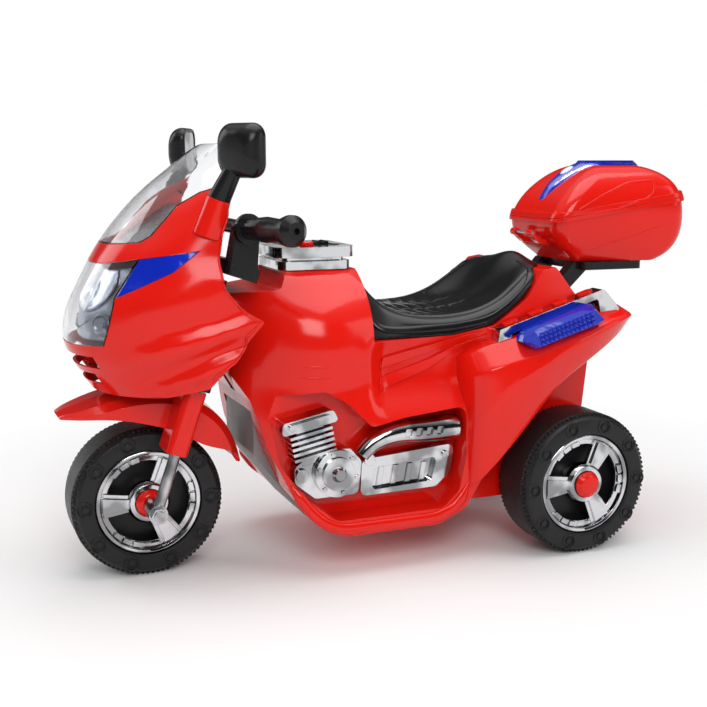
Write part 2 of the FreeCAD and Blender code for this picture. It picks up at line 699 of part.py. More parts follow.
# Steering head fixed to the body
head_tube = stem_rod(HEAD_LOW, HEAD_HIGH, HEAD_R).cut(stem_rod(HEAD_LOW - 5, HEAD_HIGH + 5, BUSH_R + PUSH))
web = side_prism([(KEEL_FRONT + GAP, 214.0, 0), (KEEL_FRONT + GAP, KEEL_TOP - 1, 0),
                   (226.0, 290.0, 0), (236.0, 258.0, 0), (224.0, 244.0, 0)], -HEAD_WEB_HALF, HEAD_WEB_HALF)
web = web.cut(stem_rod(HEAD_LOW - 30, HEAD_HIGH + 30, HEAD_R - 1))
head_tube = head_tube.fuse(web).removeSplitter()
save("head_tube", head_tube)
bush_low = stem_rod(HEAD_LOW, HEAD_LOW + BUSH_LENGTH, BUSH_R)
bush_high = stem_rod(HEAD_HIGH - BUSH_LENGTH, HEAD_HIGH, BUSH_R)
bush_bore = stem_rod(HEAD_LOW - 5, HEAD_HIGH + 5, STEM_R + RUN)
save("steering_bushes", bush_low.cut(bush_bore), bush_high.cut(bush_bore))


# Main body halves
def half_width(x, z):
    nose_fall = 1.0
    if x > NOSE_START_X:
        nose_fall = math.sqrt(max(0.02, 1 - ((x - NOSE_START_X) / NOSE_RUN) ** 2))
    tank = 1.0
    tail = 1.0
    if z > SHOULDER_Z:
        tank = math.sqrt(1 - ((z - SHOULDER_Z) / TANK_CROWN) ** 2)
        tail = math.sqrt(1 - ((z - SHOULDER_Z) / TAIL_CROWN) ** 2)
    mix = smooth(20, -90, x)
    crown = tank * (1 - mix) + tail * mix
    flare = FLARE * smooth(228, 168, z)
    waist = WAIST * smooth(56, 34, x) * smooth(-95, -60, x) * smooth(176, 206, z) * smooth(276, 246, z)
    barrel = BARREL * bell((x - BARREL_X) / 75) * smooth(196, 240, z) * smooth(345, 280, z)
    return (BODY_HALF * crown + flare + barrel - waist) * nose_fall


BODY_STATIONS = [200.0 - 18.0 * k for k in range(24)]
# Lower edge of the body in side view, front to rear
BODY_FOOT = [(214.0, 250.0), (185.0, 200.0), (172.0, 149.0), (149.0, 97.0), (118.0, 57.0),
             (92.0, BODY_FLOOR),
             (-24.0, BODY_FLOOR), (-58.0, 62.0), (-78.0, 92.0), (-104.0, 150.0), (BODY_TAIL_X, 236.0)]
BODY_HEIGHTS = [44.0 + 18.5 * k for k in range(17)]


def body_loft(inset):
    """Half body of full height: one skin through a grid of stations and heights, closed flat."""
    rows = [[V(x, half_width(x, z) - inset, z) for z in BODY_HEIGHTS] for x in BODY_STATIONS]
    surface = Part.BSplineSurface()
    surface.interpolate(rows)
    skin = surface.toShape()
    faces = [skin]
    for edge in skin.Edges:
        start = edge.valueAt(edge.FirstParameter)
        end = edge.valueAt(edge.LastParameter)
        start_in = V(start.x, GAP / 2, start.z)
        end_in = V(end.x, GAP / 2, end.z)
        sides = [Part.makeLine(end, end_in), Part.makeLine(end_in, start_in),
                 Part.makeLine(start_in, start)]
        faces.append(Part.Face(Part.Wire([edge] + sides)))
    inner = block(BODY_STATIONS[-1], BODY_STATIONS[0], GAP / 2, GAP / 2 + 1, BODY_HEIGHTS[0], BODY_TOP)
    faces.append(min(inner.Faces, key=lambda face: face.CenterOfMass.y))
    shell = Part.Shell(faces)
    shell.sewShape()
    return Part.Solid(shell)


FOOT_RADII = [20, 16, 30, 40, 30, 20, 20, 24, 24, 20, 16]
BODY_SIDE = [(133.0, 345.0, 6), (147.0, 321.0, 10), (216.0, 316.0, 10)]
BODY_SIDE += [(x, z, r) for (x, z), r in zip(BODY_FOOT, FOOT_RADII)]
BODY_SIDE += [(BODY_TAIL_X, 304.0, 6), (-190.0, 334.0, 6), (-178.0, 345.0, 0)]
SEAT_BED = [
    (51.0, 262.0, 3), (-50.0, 264.0, 30), (-102.0, 273.0, 20), (-146.0, 301.0, 20), (-171.0, 334.0, 4),
    (-191.0, 337.0, 0), (-191.0, 420.0, 0), (51.0, 420.0, 0),
]
POCKET = [
    (174.0, 206.0, 8), (110.0, 212.0, 16), (84.0, 196.0, 20), (60.0, 170.0, 8), (20.0, 177.0, 24),
    (-57.0, 183.0, 8),
    (-59.0, 128.0, 30), (-50.0, 84.0, 16), (-30.0, POCKET_BOTTOM, 14), (102.0, POCKET_BOTTOM, 22),
    (139.0, 97.0, 24),
    (160.0, 130.0, 24),
]
CORE = [
    (-60.0, 66.0, 6), (-60.0, 200.0, 0), (-204.0, CORE_TOP, 0), (-238.0, CORE_TOP, 6), (-244.0, 230.0, 30),
    (-226.0, 60.0, 14), (-90.0, 60.0, 14),
]
CORE_CAVITY = [
    (-66.0, 72.0, 4), (-66.0, 203.0, 0), (-206.0, CORE_TOP - WALL, 0), (-234.0, CORE_TOP - WALL, 4),
    (-239.0, 231.0, 24),
    (-222.0, 65.0, 9), (-92.0, 65.0, 9),
]

# Rear wing stations: x, outer half width, low z, ridge z, top z
WING_STATIONS = [
    (-58.0, 117.0, 80.0, 170.0, 236.0), (-72.0, 142.0, 95.0, 180.0, 248.0),
    (-95.0, 150.0, 121.0, 205.0, 256.0),
    (-130.0, 153.0, 161.0, 226.0, 264.0), (-165.0, 152.0, 199.0, 245.0, 272.0),
    (-205.0, 149.0, 226.0, 260.0, 280.0),
    (-240.0, 143.0, 246.0, 272.0, 287.0), (-262.0, 136.0, 259.0, 277.0, 290.0),
    (-274.0, 129.0, 266.0, 279.0, 288.0),
]
WING_IN = 76.0


def wing_section(x, out, low, ridge, top, inset):
    drop = min(22.0, (top - ridge) * 0.7)
    soft = min(1.0, (top - low) / 60) ** 2.5
    inner = WING_IN - inset * 2
    corners = [
        (inner, low + inset, 0), (out - 12 - inset, low + inset, 6 * soft), (out - inset, ridge, 9 * soft),
        (out - 4 - inset, top - drop - inset * 0.5, 7 * soft),
        (out - 28 - inset * 0.5, top - inset, 10 * soft),
        (inner, top - inset, 0),
    ]
    return rounded_loop(corners, lambda u, v: V(x, u, v))


def wing_loft(inset):
    rows = WING_STATIONS if inset == 0 else WING_STATIONS[1:-1]
    return Part.makeLoft([wing_section(*row, inset) for row in rows], True, False)


wing = wing_loft(0.0)
flank = body_loft(0.0).common(side_prism(BODY_SIDE, 0, 170))
# Raised swoosh blades under the seat
blade_skin = body_loft(-3.0)
for line in (
    [(44.0, 206.0), (-20.0, 226.0), (-90.0, 264.0), (-24.0, 238.0), (40.0, 220.0)],
    [(40.0, 230.0), (-24.0, 246.0), (-86.0, 268.0), (-30.0, 256.0), (36.0, 242.0)],
):
    flank = flank.fuse(blade_skin.common(side_prism(sharp(line), 60, 170)))
core = side_prism(CORE, GAP / 2, CORE_HALF)
pocket = side_prism(POCKET, POCKET_FLOOR_Y, 200)
outer = flank.cut(pocket).fuse([wing, core])
cavity = body_loft(WALL).common(side_prism(offset_loop(BODY_SIDE, -WALL), -5, 170))
pocket_wall = side_prism(offset_loop(POCKET, WALL), POCKET_FLOOR_Y - WALL, 200)
seat_wall = side_prism(offset_loop(SEAT_BED, WALL), -200, 200)
roof = block(-260, 260, -200, 200, BODY_TOP - WALL, BODY_TOP + 20)
cavity = cavity.cut([pocket_wall, seat_wall, roof])
core_cavity = side_prism(CORE_CAVITY, -5, CORE_HALF - WALL)
half_body = outer.cut(cavity).cut(core_cavity).cut(wing_loft(WALL))
seat_bed = side_prism(SEAT_BED, -200, 200)
keel_side = [(KEEL_FRONT, KEEL_TOP, 6), (KEEL_FRONT, 134.0, 8), (168.0, 120.0, 14), (116.0, 54.0, 6),
             (KEEL_BACK, 54.0, 0), (KEEL_BACK, KEEL_TOP, 0)]
keel_room = [(KEEL_FRONT + 3, KEEL_TOP + GAP, 0), (KEEL_FRONT + 3, 132.0, 8), (170.0, 117.0, 14),
             (117.0, 52.0, 4),
             (KEEL_BACK - GAP, 52.0, 0), (KEEL_BACK - GAP, KEEL_TOP + GAP, 0)]
keel_clear = side_prism(keel_room, -KEEL_HALF - GAP, KEEL_HALF + GAP)
half_body = half_body.cut([seat_bed, keel_clear, stem_rod(HEAD_LOW - 12, HEAD_HIGH + 40, HEAD_R + GAP)])
half_body = half_body.cut(rod_y(REAR_AXLE_X, -10, 100, WHEEL_R, AXLE_R))
half_body = half_body.cut(block(170, 240, -HEAD_WEB_HALF - GAP, HEAD_WEB_HALF + GAP, 200, 300))
body_left = largest(half_body)
SOCKET_X = 0.0
SOCKET_Z = 232.0
SOCKET_R = 8.0
SOCKET_BORE_R = 2.75
SOCKET_DEPTH = 11.0
DRIVE_R = 14.0
DRIVE_CLEAR = 0.4
drive_hole = rod_y(REAR_AXLE_X, -100, -50, WHEEL_R, DRIVE_R + DRIVE_CLEAR)
socket_hole = rod_y(SOCKET_X, -120, -60, SOCKET_Z, SOCKET_R + GAP)
body_right = largest(mirrored(body_left).cut([drive_hole, socket_hole]))
save("body_left", body_left)
save("body_right", body_right)

keel = side_prism(keel_side, -KEEL_HALF, KEEL_HALF)
keel_hollow = [(KEEL_FRONT - WALL, KEEL_TOP - WALL, 3), (KEEL_FRONT - WALL, 136.0, 6),
               (165.0, 122.0, 10), (114.0, 58.0, 4), (KEEL_BACK - 8, 58.0, 0),
               (KEEL_BACK - 8, KEEL_TOP - WALL, 0)]
save("front_keel", keel.cut(side_prism(keel_hollow, -KEEL_HALF + WALL, KEEL_HALF - WALL)))

# Seat: moulded saddle with a raised front and a back rest
SEAT_STATIONS = [
    (51.0, 95.0, 52.0, 329.0, 332.0), (40.0, 97.0, 60.0, 316.0, 321.0), (22.0, 100.0, 76.0, 295.0, 303.0),
    (-5.0, 103.0, 90.0, 285.0, 292.0), (-45.0, 105.0, 97.0, 283.0, 288.0),
    (-85.0, 105.0, 99.0, 288.0, 289.0),
    (-118.0, 103.0, 98.0, 301.0, 298.0), (-146.0, 100.0, 93.0, 320.0, 322.0),
    (-172.0, 95.0, 84.0, 333.0, 346.0),
    (-190.0, 88.0, 72.0, 332.0, 347.0),
]
CREST_KNOTS = [0, 1, 4, 8, 12, 15, 16]


def seat_section(x, low_half, top_half, edge, middle):
    base = 255.0
    right = V(x, -low_half, base)
    left = V(x, low_half, base)
    crest = [
        V(x, top_half, edge - 7), V(x, top_half - 8, edge), V(x, top_half * 0.5, (edge + middle) / 2),
        V(x, 0, middle),
        V(x, -top_half * 0.5, (edge + middle) / 2), V(x, -top_half + 8, edge), V(x, -top_half, edge - 7),
    ]
    return Part.Wire([
        Part.makeLine(right, left), Part.makeLine(left, crest[0]), spline(crest, CREST_KNOTS),
        Part.makeLine(crest[-1], right),
    ])


seat = Part.makeLoft([seat_section(*row) for row in SEAT_STATIONS], True, False)
seat_room = side_prism(offset_loop(SEAT_BED, -GAP), -200, 200)
save("seat", seat.common(seat_room))

# Console with its panel and controls
foot = plan_prism([(56.0, -52.0, 12), (140.0, -46.0, 14), (140.0, 46.0, 14), (56.0, 52.0, 12)],
                  CONSOLE_FOOT, 350.0)
neck = plan_prism([(62.0, -44.0, 8), (134.0, -40.0, 8), (134.0, 40.0, 8), (62.0, 44.0, 8)], 349.0,
                  PLATE_LOW + 1)
plate = plan_prism([(50.0, -50.0, 16), (120.0, -54.0, 14), (145.0, -40.0, 14), (145.0, 40.0, 14),
                    (120.0, 54.0, 14), (50.0, 50.0, 16)],
                   PLATE_LOW, PLATE_TOP)
console = foot.fuse([neck, plate])
panel_floor = PLATE_TOP - PANEL_DEPTH
panel_outline = [(62.0, -36.0, 10), (128.0, -34.0, 10), (128.0, 34.0, 10), (62.0, 36.0, 10)]
panel_inner = offset_loop(panel_outline, -GAP)
console = console.cut(plan_prism(panel_outline, panel_floor, PLATE_TOP + 5))
panel = plan_prism(panel_inner, panel_floor + 0.1, PLATE_TOP - 0.5)
wells = []
for y in (BUTTON_Y, -BUTTON_Y):
    wells.append(Part.makeCylinder(BUTTON_R + GAP, 20, V(BUTTON_X, y, WELL_FLOOR), V(0, 0, 1)))
well_half = ROCKER_LONG / 2 + 2.2
wells.append(block(ROCKER_X - well_half, ROCKER_X + well_half, -ROCKER_WIDE / 2 - GAP,
                   ROCKER_WIDE / 2 + GAP, WELL_FLOOR, PLATE_TOP + 5))
pin_reach = ROCKER_WIDE / 2 + ROCKER_PIN_OUT
rocker_bore = rod_y(ROCKER_X, -pin_reach - GAP, pin_reach + GAP, ROCKER_PIVOT_Z, ROCKER_PIN_R + RUN)
save("console", console.cut(wells + [rocker_bore]).removeSplitter())
save("console_panel", panel.cut(wells))
for name, y in (("music_button", BUTTON_Y), ("horn_button", -BUTTON_Y)):
    button = Part.makeCylinder(BUTTON_R, BUTTON_TOP - BUTTON_FOOT, V(BUTTON_X, y, BUTTON_FOOT), V(0, 0, 1))
    button_crown = Part.makeCone(BUTTON_R, BUTTON_R - 1.5, 1.2, V(BUTTON_X, y, BUTTON_TOP), V(0, 0, 1))
    save(name, button.fuse(button_crown))
rocker_back = ROCKER_X - ROCKER_LONG / 2
rocker_front = ROCKER_X + ROCKER_LONG / 2
rocker = side_prism([
    (rocker_back, ROCKER_FOOT, 1), (rocker_front, ROCKER_FOOT, 1), (rocker_front, ROCKER_TOP, 1),
    (ROCKER_X, ROCKER_TOP - 2.5, 6), (rocker_back, ROCKER_TOP, 1),
], -ROCKER_WIDE / 2, ROCKER_WIDE / 2)
rocker = rocker.fuse(rod_y(ROCKER_X, -pin_reach, pin_reach, ROCKER_PIVOT_Z, ROCKER_PIN_R))
save("direction_rocker", rocker.removeSplitter())

# Engine dress-up on the pocket floor
ENGINE_BACK = POCKET_FLOOR_Y + GAP
ENGINE_LEAN = 11.0
CRANK_X = 97.0
CRANK_Z = 118.0
CRANK_FACE = 103.0
COVER_FACE = 110.0
COVER_R = 27.0
BOLT_RING = 23.0
crankcase = side_prism([
    (70.0, 90.0, 8), (122.0, 90.0, 8), (146.0, 110.0, 8), (146.0, 128.0, 8), (120.0, 146.0, 6),
    (80.0, 144.0, 6),
    (66.0, 128.0, 8),
], ENGINE_BACK, CRANK_FACE)
cover = [rod_y(CRANK_X, CRANK_FACE, COVER_FACE, CRANK_Z, COVER_R)]
cover.append(rod_y(CRANK_X, COVER_FACE, COVER_FACE + 3, CRANK_Z, 19.0))
cover.append(Part.makeCone(9.0, 6.0, 5, V(CRANK_X, COVER_FACE + 3, CRANK_Z), V(0, 1, 0)))
cover.append(rod_y(138.0, CRANK_FACE - 2, CRANK_FACE + 4, CRANK_Z + 1, 7.5))
for k in range(6):
    turn = math.radians(60 * k + 15)
    bolt_x = CRANK_X + BOLT_RING * math.cos(turn)
    bolt_z = CRANK_Z + BOLT_RING * math.sin(turn)
    cover.append(rod_y(bolt_x, COVER_FACE - 1, COVER_FACE + 2, bolt_z, 2.6))
barrel = [block(102.0, 134.0, ENGINE_BACK, CRANK_FACE + 1, 134.0, 176.0)]
for k in range(5):
    barrel.append(block(93.0, 143.0, ENGINE_BACK, CRANK_FACE + 5, 141.0 + 6.5 * k, 144.5 + 6.5 * k))
barrel.append(side_prism([(84.0, 174.0, 4), (152.0, 174.0, 4), (148.0, 188.0, 5), (88.0, 188.0, 5)],
                         ENGINE_BACK, 108.0))
barrel.append(side_prism([(92.0, 177.0, 3), (144.0, 177.0, 3), (142.0, 185.0, 3), (94.0, 185.0, 3)],
                         107.0, 112.0))
for shape in barrel:
    shape.rotate(V(112.0, 0, CRANK_Z), V(0, 1, 0), ENGINE_LEAN)
pocket_room = side_prism(offset_loop(POCKET, -2.0), POCKET_FLOOR_Y, 140)
engine = crankcase.fuse(cover + barrel).common(pocket_room)
save_both("engine_covers", largest(engine.removeSplitter()))

# Exhaust pipe with a slotted shield, and the chrome side frame under it
PIPE_Y = 102.0
PIPE_Z = 157.0
PIPE_STATIONS = [
    (66.0, 134.0, 50.0, 9.0), (55.0, 145.0, 38.0, 10.0), (38.0, 153.5, 18.0, 11.5),
    (20.0, PIPE_Z, 6.0, 13.0),
    (-4.0, PIPE_Z, 0.0, 14.2), (-30.0, PIPE_Z, 0.0, 14.7), (-52.0, PIPE_Z, 0.0, 14.7),
]


def pipe_ring(x, z, climb, radius):
    turn = math.radians(climb)
    return Part.Wire([Part.makeCircle(radius, V(x, PIPE_Y, z), V(-math.cos(turn), 0, math.sin(turn)))])


exhaust = Part.makeLoft([pipe_ring(*row) for row in PIPE_STATIONS], True, False)
exhaust = exhaust.cut(Part.makeCylinder(11.0, 14, V(-40.0, PIPE_Y, PIPE_Z), V(-1, 0, 0)))
for k in range(4):
    start = 10.0 - 13 * k
    slot = side_prism([(start, PIPE_Z - 4, 2), (start + 8, PIPE_Z - 4, 2), (start + 6, PIPE_Z + 5, 2),
                       (start - 2, PIPE_Z + 5, 2)],
                      PIPE_Y + 11.5, 130)
    exhaust = exhaust.cut(slot)
exhaust = largest(exhaust.cut(engine).common(pocket_room))
save_both("exhausts", exhaust)

FRAME_FACE = 99.0
frame_outer = [(64.0, 128.0, 8), (66.0, 85.0, 8), (-30.0, 86.0, 10), (-49.0, 103.0, 10), (-53.0, 136.0, 8)]
frame_window = [(48.0, 117.0, 5), (52.0, 91.0, 5), (-24.0, 94.0, 5), (-31.0, 122.0, 5)]
side_frame = side_prism(frame_outer, ENGINE_BACK, FRAME_FACE)
side_frame = side_frame.cut(side_prism(frame_window, FRAME_FACE - 7, 120))
side_frame = side_frame.fuse(rod_y(-41.0, FRAME_FACE - 1, FRAME_FACE + 3, 124.0, 4.0))
side_frame = side_frame.fuse(rod_y(56.0, FRAME_FACE - 1, FRAME_FACE + 5, 128.0, 6.5))
for k in range(4):
    x = 38.0 - 18 * k
    bar = side_prism(sharp([(x, 94.0), (x + 6, 94.0), (x + 2, 116.0), (x - 4, 116.0)]), ENGINE_BACK + 2,
                     FRAME_FACE - 5)
    side_frame = side_frame.fuse(bar)
side_frame = side_frame.common(pocket_room)
save_both("side_frames", largest(side_frame.cut([engine, exhaust]).removeSplitter()))

# Rails, reflectors and light bars on the rear wings
RAIL_IN = 100.0
RAIL_OUT = 122.0
PAD_IN = 105.0
PAD_OUT = 115.0
PAD_HALF = 10.0
rail_top = [(-98.0, 270.0), (-238.0, 311.0)]
rail = side_prism([(-94.0, 240.0, 0), (-98.0, 270.0, 4), (-238.0, 311.0, 4), (-260.0, 288.0, 3),
                   (-260.0, 270.0, 0)], RAIL_IN, RAIL_OUT)
rail = rail.cut(side_prism([(-112.0, 240.0, 0), (-114.0, 265.0, 3), (-230.0, 300.0, 3),
                            (-240.0, 262.0, 0)], RAIL_IN + 4, RAIL_OUT + 5))
rail = largest(rail.cut([wing, core]).cut(flank))
rail_turn = math.degrees(math.atan2(rail_top[1][1] - rail_top[0][1], rail_top[0][0] - rail_top[1][0]))
pads = []
for k in range(4):
    share = 0.14 + 0.24 * k
    x = rail_top[0][0] + (rail_top[1][0] - rail_top[0][0]) * share
    z = rail_top[0][1] + (rail_top[1][1] - rail_top[0][1]) * share
    corners = [(x - PAD_HALF, PAD_IN, 4.9), (x + PAD_HALF, PAD_IN, 4.9), (x + PAD_HALF, PAD_OUT, 4.9),
               (x - PAD_HALF, PAD_OUT, 4.9)]
    pad = plan_prism(corners, z + 0.1, z + 2.6)
    pad.rotate(V(x, 0, z), V(0, 1, 0), rail_turn)
    pads.append(pad)
save_both("side_rails", rail)
save("rail_reflectors", *pads, *[mirrored(pad) for pad in pads])


def bar_loop(inset, y):
    corners = [(-116.0 - inset, 258.0 + inset * 0.3), (-128.0 - inset * 0.5, 271.0 - inset),
               (-208.0 + inset, 296.0 - inset),
               (-222.0 + inset, 280.0), (-212.0 + inset, 271.0 + inset), (-132.0, 249.0 + inset)]
    points = [V(x, y, z) for x, z in corners]
    return Part.makePolygon(points + [points[0]])


light_bar = Part.makeLoft([bar_loop(0.0, RAIL_OUT + GAP), bar_loop(0.0, 144.0), bar_loop(4.0, 154.0)],
                          True, True)
save_both("light_bars", largest(light_bar.cut(wing)))

# Rack and top case
RACK_TOP = CASE_LEVELS[0][0] - GAP
RACK_THICK = 10.0
rack = plan_prism([(-252.0, -58.0, 8), (-336.0, -64.0, 8), (-336.0, 64.0, 8), (-252.0, 58.0, 8)],
                  RACK_TOP - RACK_THICK, RACK_TOP)
strut = side_prism([(BODY_TAIL_X - 1.5, CORE_TOP + GAP, 0), (-236.0, CORE_TOP + GAP, 0),
                    (-268.0, 330.0, 0), (-246.0, RACK_TOP, 0)], 30.0, 46.0)
rack = rack.fuse([strut, mirrored(strut)])
for x in (-278.0, -300.0, -322.0):
    rack = rack.cut(plan_prism([(x - 6, -46.0, 4), (x + 6, -46.0, 4), (x + 6, 46.0, 4),
                                (x - 6, 46.0, 4)], 320, 340))
save("case_rack", rack.removeSplitter())


def case_loft(grow):
    wires = []
    last = len(CASE_LEVELS) - 1
    for index, (z, front, rear, front_half, rear_half, radius) in enumerate(CASE_LEVELS):
        lift = grow * (-1 if index == 0 else 1 if index == last else 0)
        corners = [
            (front + grow, -front_half - grow, radius), (front + grow, front_half + grow, radius),
            (rear - grow, rear_half + grow, radius), (rear - grow, -rear_half - grow, radius),
        ]
        level = z + lift
        wires.append(rounded_loop(corners, lambda u, v, level=level: V(u, v, level)))
    return Part.makeLoft(wires, True, False)


def part_band(low, high):
    """Slab between two lines parallel to the lid seam."""
    near = 150.0
    far = 450.0
    rise_near = (PART_FRONT_X + near) * -PART_SLOPE
    rise_far = (PART_FRONT_X + far) * PART_SLOPE
    z0 = PART_FRONT_Z + rise_near
    z1 = PART_FRONT_Z + rise_far
    return side_prism([(-near, z0 + low, 0), (-near, z0 + high, 0), (-far, z1 + high, 0),
                       (-far, z1 + low, 0)], -140, 140)


case = case_loft(0.0)
case_room = case_loft(-CASE_WALL)
case_lip = case_loft(2.6).cut(case_room)
base = case.cut(case_room).common(part_band(-120, -0.2))
base = base.fuse(case_lip.common(part_band(-5.5, -0.2)))
lid = case.cut(case_room).common(part_band(0.2, 140))
lid = lid.fuse(case_lip.common(part_band(0.2, 6.0)))

# Hinge knuckles at the front of the case, a latch tongue at the rear
KNUCKLE_R = 4.5
KNUCKLE_LONG = 10.0
LID_KNUCKLE_HALF = 13.5
knuckle_in = LID_KNUCKLE_HALF + 0.5
knuckle_out = knuckle_in + KNUCKLE_LONG
knuckle_bore = rod_y(LID_HINGE_X, -40, 40, LID_HINGE_Z, PIN_BORE_R)
stay_line = [(LID_HINGE_X + 4, LID_HINGE_Z - 1), (LID_HINGE_X - 4, LID_HINGE_Z - 1), (-211.0, 365.0),
             (-226.0, 363.0), (-226.0, 356.0), (-208.0, 359.0)]
for y in (-knuckle_out, knuckle_in):
    knuckle = rod_y(LID_HINGE_X, y, y + KNUCKLE_LONG, LID_HINGE_Z, KNUCKLE_R)
    stay = side_prism(sharp(stay_line), y, y + KNUCKLE_LONG)
    base = base.fuse([knuckle, stay.cut(case_room)])
lid_knuckle = rod_y(LID_HINGE_X, -LID_KNUCKLE_HALF, LID_KNUCKLE_HALF, LID_HINGE_Z, KNUCKLE_R)
lid_stay_line = [(LID_HINGE_X + 3, LID_HINGE_Z + 3), (LID_HINGE_X - 4, LID_HINGE_Z - 2),
                 (-212.0, 369.5), (-214.0, 377.0)]
lid_stay = side_prism(sharp(lid_stay_line), -LID_KNUCKLE_HALF, LID_KNUCKLE_HALF)
lid = lid.fuse([lid_knuckle, lid_stay.cut(case_room)])
swing_half = LID_KNUCKLE_HALF + GAP
lid_swing = rod_y(LID_HINGE_X, -swing_half, swing_half, LID_HINGE_Z, KNUCKLE_R + GAP)
base = base.cut([knuckle_bore, lid_swing])
lid = lid.cut(knuckle_bore)
for y in (-knuckle_out - GAP, knuckle_in - 0.2):
    lid = lid.cut(rod_y(LID_HINGE_X, y, y + KNUCKLE_LONG + 0.5, LID_HINGE_Z, KNUCKLE_R + GAP))
save("case_base", largest(base.removeSplitter()))
save("case_lid", largest(lid.removeSplitter()))
hinge_pin = rod_y(LID_HINGE_X, -knuckle_out, knuckle_out, LID_HINGE_Z, PIN_R)
beacon_plan = [(-262.0, 0.0, 3), (-296.0, -14.0, 20), (-352.0, -24.0, 14), (-368.0, 0.0, 12),
               (-352.0, 24.0, 14), (-296.0, 14.0, 20)]
beacon = plan_prism(beacon_plan, 380, 480).common(case_loft(6.0)).cut(case_loft(0.15))
beacon = max(beacon.Solids, key=lambda solid: solid.CenterOfMass.z)
save("beacon_lens", beacon)

# Rear axle, drive, battery and pedal
axle_end = REAR_WHEEL_Y + WHEEL_HALF + 1.5
save("rear_axle", rod_y(REAR_AXLE_X, -axle_end, axle_end, WHEEL_R, AXLE_R))
spacer_rear = tube_y(REAR_AXLE_X, CORE_HALF + GAP, REAR_WHEEL_Y - WHEEL_HALF - GAP, WHEEL_R, 11.0, AXLE_R)
rear_nut = tube_y(REAR_AXLE_X, REAR_WHEEL_Y + WHEEL_HALF + 0.5, REAR_WHEEL_Y + WHEEL_HALF + 4, WHEEL_R,
                  10.0, AXLE_R)
save("rear_axle_hardware", spacer_rear, rear_nut, mirrored(rear_nut))
drive_in = -52.0
drive_hub = tube_y(REAR_AXLE_X, -REAR_WHEEL_Y + WHEEL_HALF + GAP, drive_in, WHEEL_R, DRIVE_R, AXLE_BORE_R)
save("drive_hub", drive_hub)
GEARBOX_IN = -48.0
MOTOR_X = -144.0
MOTOR_Z = 99.0
MOTOR_END = 8.0
gearbox_line = [(-120.0, 70.0, 8), (-216.0, 68.0, 12), (-216.0, 112.0, 14), (-140.0, 128.0, 14),
                (-120.0, 110.0, 8)]
gearbox = side_prism(gearbox_line, -CORE_HALF + WALL + GAP, GEARBOX_IN)
gearbox = gearbox.cut(rod_y(REAR_AXLE_X, -100, drive_in + GAP, WHEEL_R, DRIVE_R + DRIVE_CLEAR))
save("gearbox", gearbox.cut(rod_y(REAR_AXLE_X, -100, 0, WHEEL_R, AXLE_R)))
motor = rod_y(MOTOR_X, GEARBOX_IN + GAP, MOTOR_END, MOTOR_Z, 17.0)
save("drive_motor", motor.fuse(rod_y(MOTOR_X, MOTOR_END, MOTOR_END + 8, MOTOR_Z, 6.0)))

tray_low = BODY_FLOOR + WALL + GAP
TRAY_WALL = 3.0
tray = block(-16.0, 66.0, -44.0, 44.0, tray_low, tray_low + 30)
tray = tray.cut(block(-16.0 + TRAY_WALL, 66.0 - TRAY_WALL, -44.0 + TRAY_WALL, 44.0 - TRAY_WALL,
                      tray_low + TRAY_WALL, 200))
save("battery_tray", tray)
battery_low = tray_low + TRAY_WALL + GAP
battery_top = battery_low + 100
battery = block(-12.0, 62.0, -35.0, 35.0, battery_low, battery_top)
for y in (-17.0, 17.0):
    battery = battery.fuse(block(-4.0, 4.0, y - 3, y + 3, battery_top, battery_top + 6))
save("battery", battery.removeSplitter())
save("control_board", block(14.0, 60.0, -30.0, 30.0, battery_top + GAP, battery_top + 12))
socket_face = half_width(SOCKET_X, SOCKET_Z) + 0.5
socket = rod_y(SOCKET_X, -socket_face, -socket_face + 16, SOCKET_Z, SOCKET_R)
socket_bore = rod_y(SOCKET_X, -socket_face - 1, -socket_face + SOCKET_DEPTH, SOCKET_Z, SOCKET_BORE_R)
save("charging_socket", socket.cut(socket_bore))

PEDAL_LONG = 48.0
PEDAL_OUT_Y = -113.0
PEDAL_IN_Y = -89.0
LUG_THICK = 3.0
bed_front = PEDAL_PIVOT_X + 5
bed_back = PEDAL_PIVOT_X - PEDAL_LONG - 2
pedal_bed = block(bed_back, bed_front, PEDAL_OUT_Y, PEDAL_IN_Y, POCKET_BOTTOM + GAP, POCKET_BOTTOM + 3.5)
for y in (PEDAL_OUT_Y, PEDAL_IN_Y - LUG_THICK):
    lug = side_prism([
        (PEDAL_PIVOT_X - 6, POCKET_BOTTOM + 3, 0), (bed_front, POCKET_BOTTOM + 3, 0),
        (PEDAL_PIVOT_X + 4, PEDAL_PIVOT_Z + 4, 3), (PEDAL_PIVOT_X - 4, PEDAL_PIVOT_Z + 4, 3),
    ], y, y + LUG_THICK)
    pedal_bed = pedal_bed.fuse(lug)
pin_hole = rod_y(PEDAL_PIVOT_X, -120, -80, PEDAL_PIVOT_Z, PIN_R)
save("pedal_bracket", pedal_bed.cut(pin_hole).removeSplitter())
save("hinge_pins", hinge_pin, rod_y(PEDAL_PIVOT_X, PEDAL_OUT_Y, PEDAL_IN_Y, PEDAL_PIVOT_Z, PIN_R))
pedal = side_prism([
    (PEDAL_PIVOT_X - PEDAL_LONG, PEDAL_PIVOT_Z + 1, 1), (PEDAL_PIVOT_X - 4, PEDAL_PIVOT_Z - 1.5, 1),
    (PEDAL_PIVOT_X + 4, PEDAL_PIVOT_Z - 2, 2), (PEDAL_PIVOT_X + 4, PEDAL_PIVOT_Z + 2.5, 2),
    (PEDAL_PIVOT_X - PEDAL_LONG + 2, PEDAL_PIVOT_Z + 5.5, 2),
], PEDAL_OUT_Y + LUG_THICK + GAP, PEDAL_IN_Y - LUG_THICK - GAP)
save("foot_pedal", pedal.cut(rod_y(PEDAL_PIVOT_X, -120, -80, PEDAL_PIVOT_Z, PIN_BORE_R)))
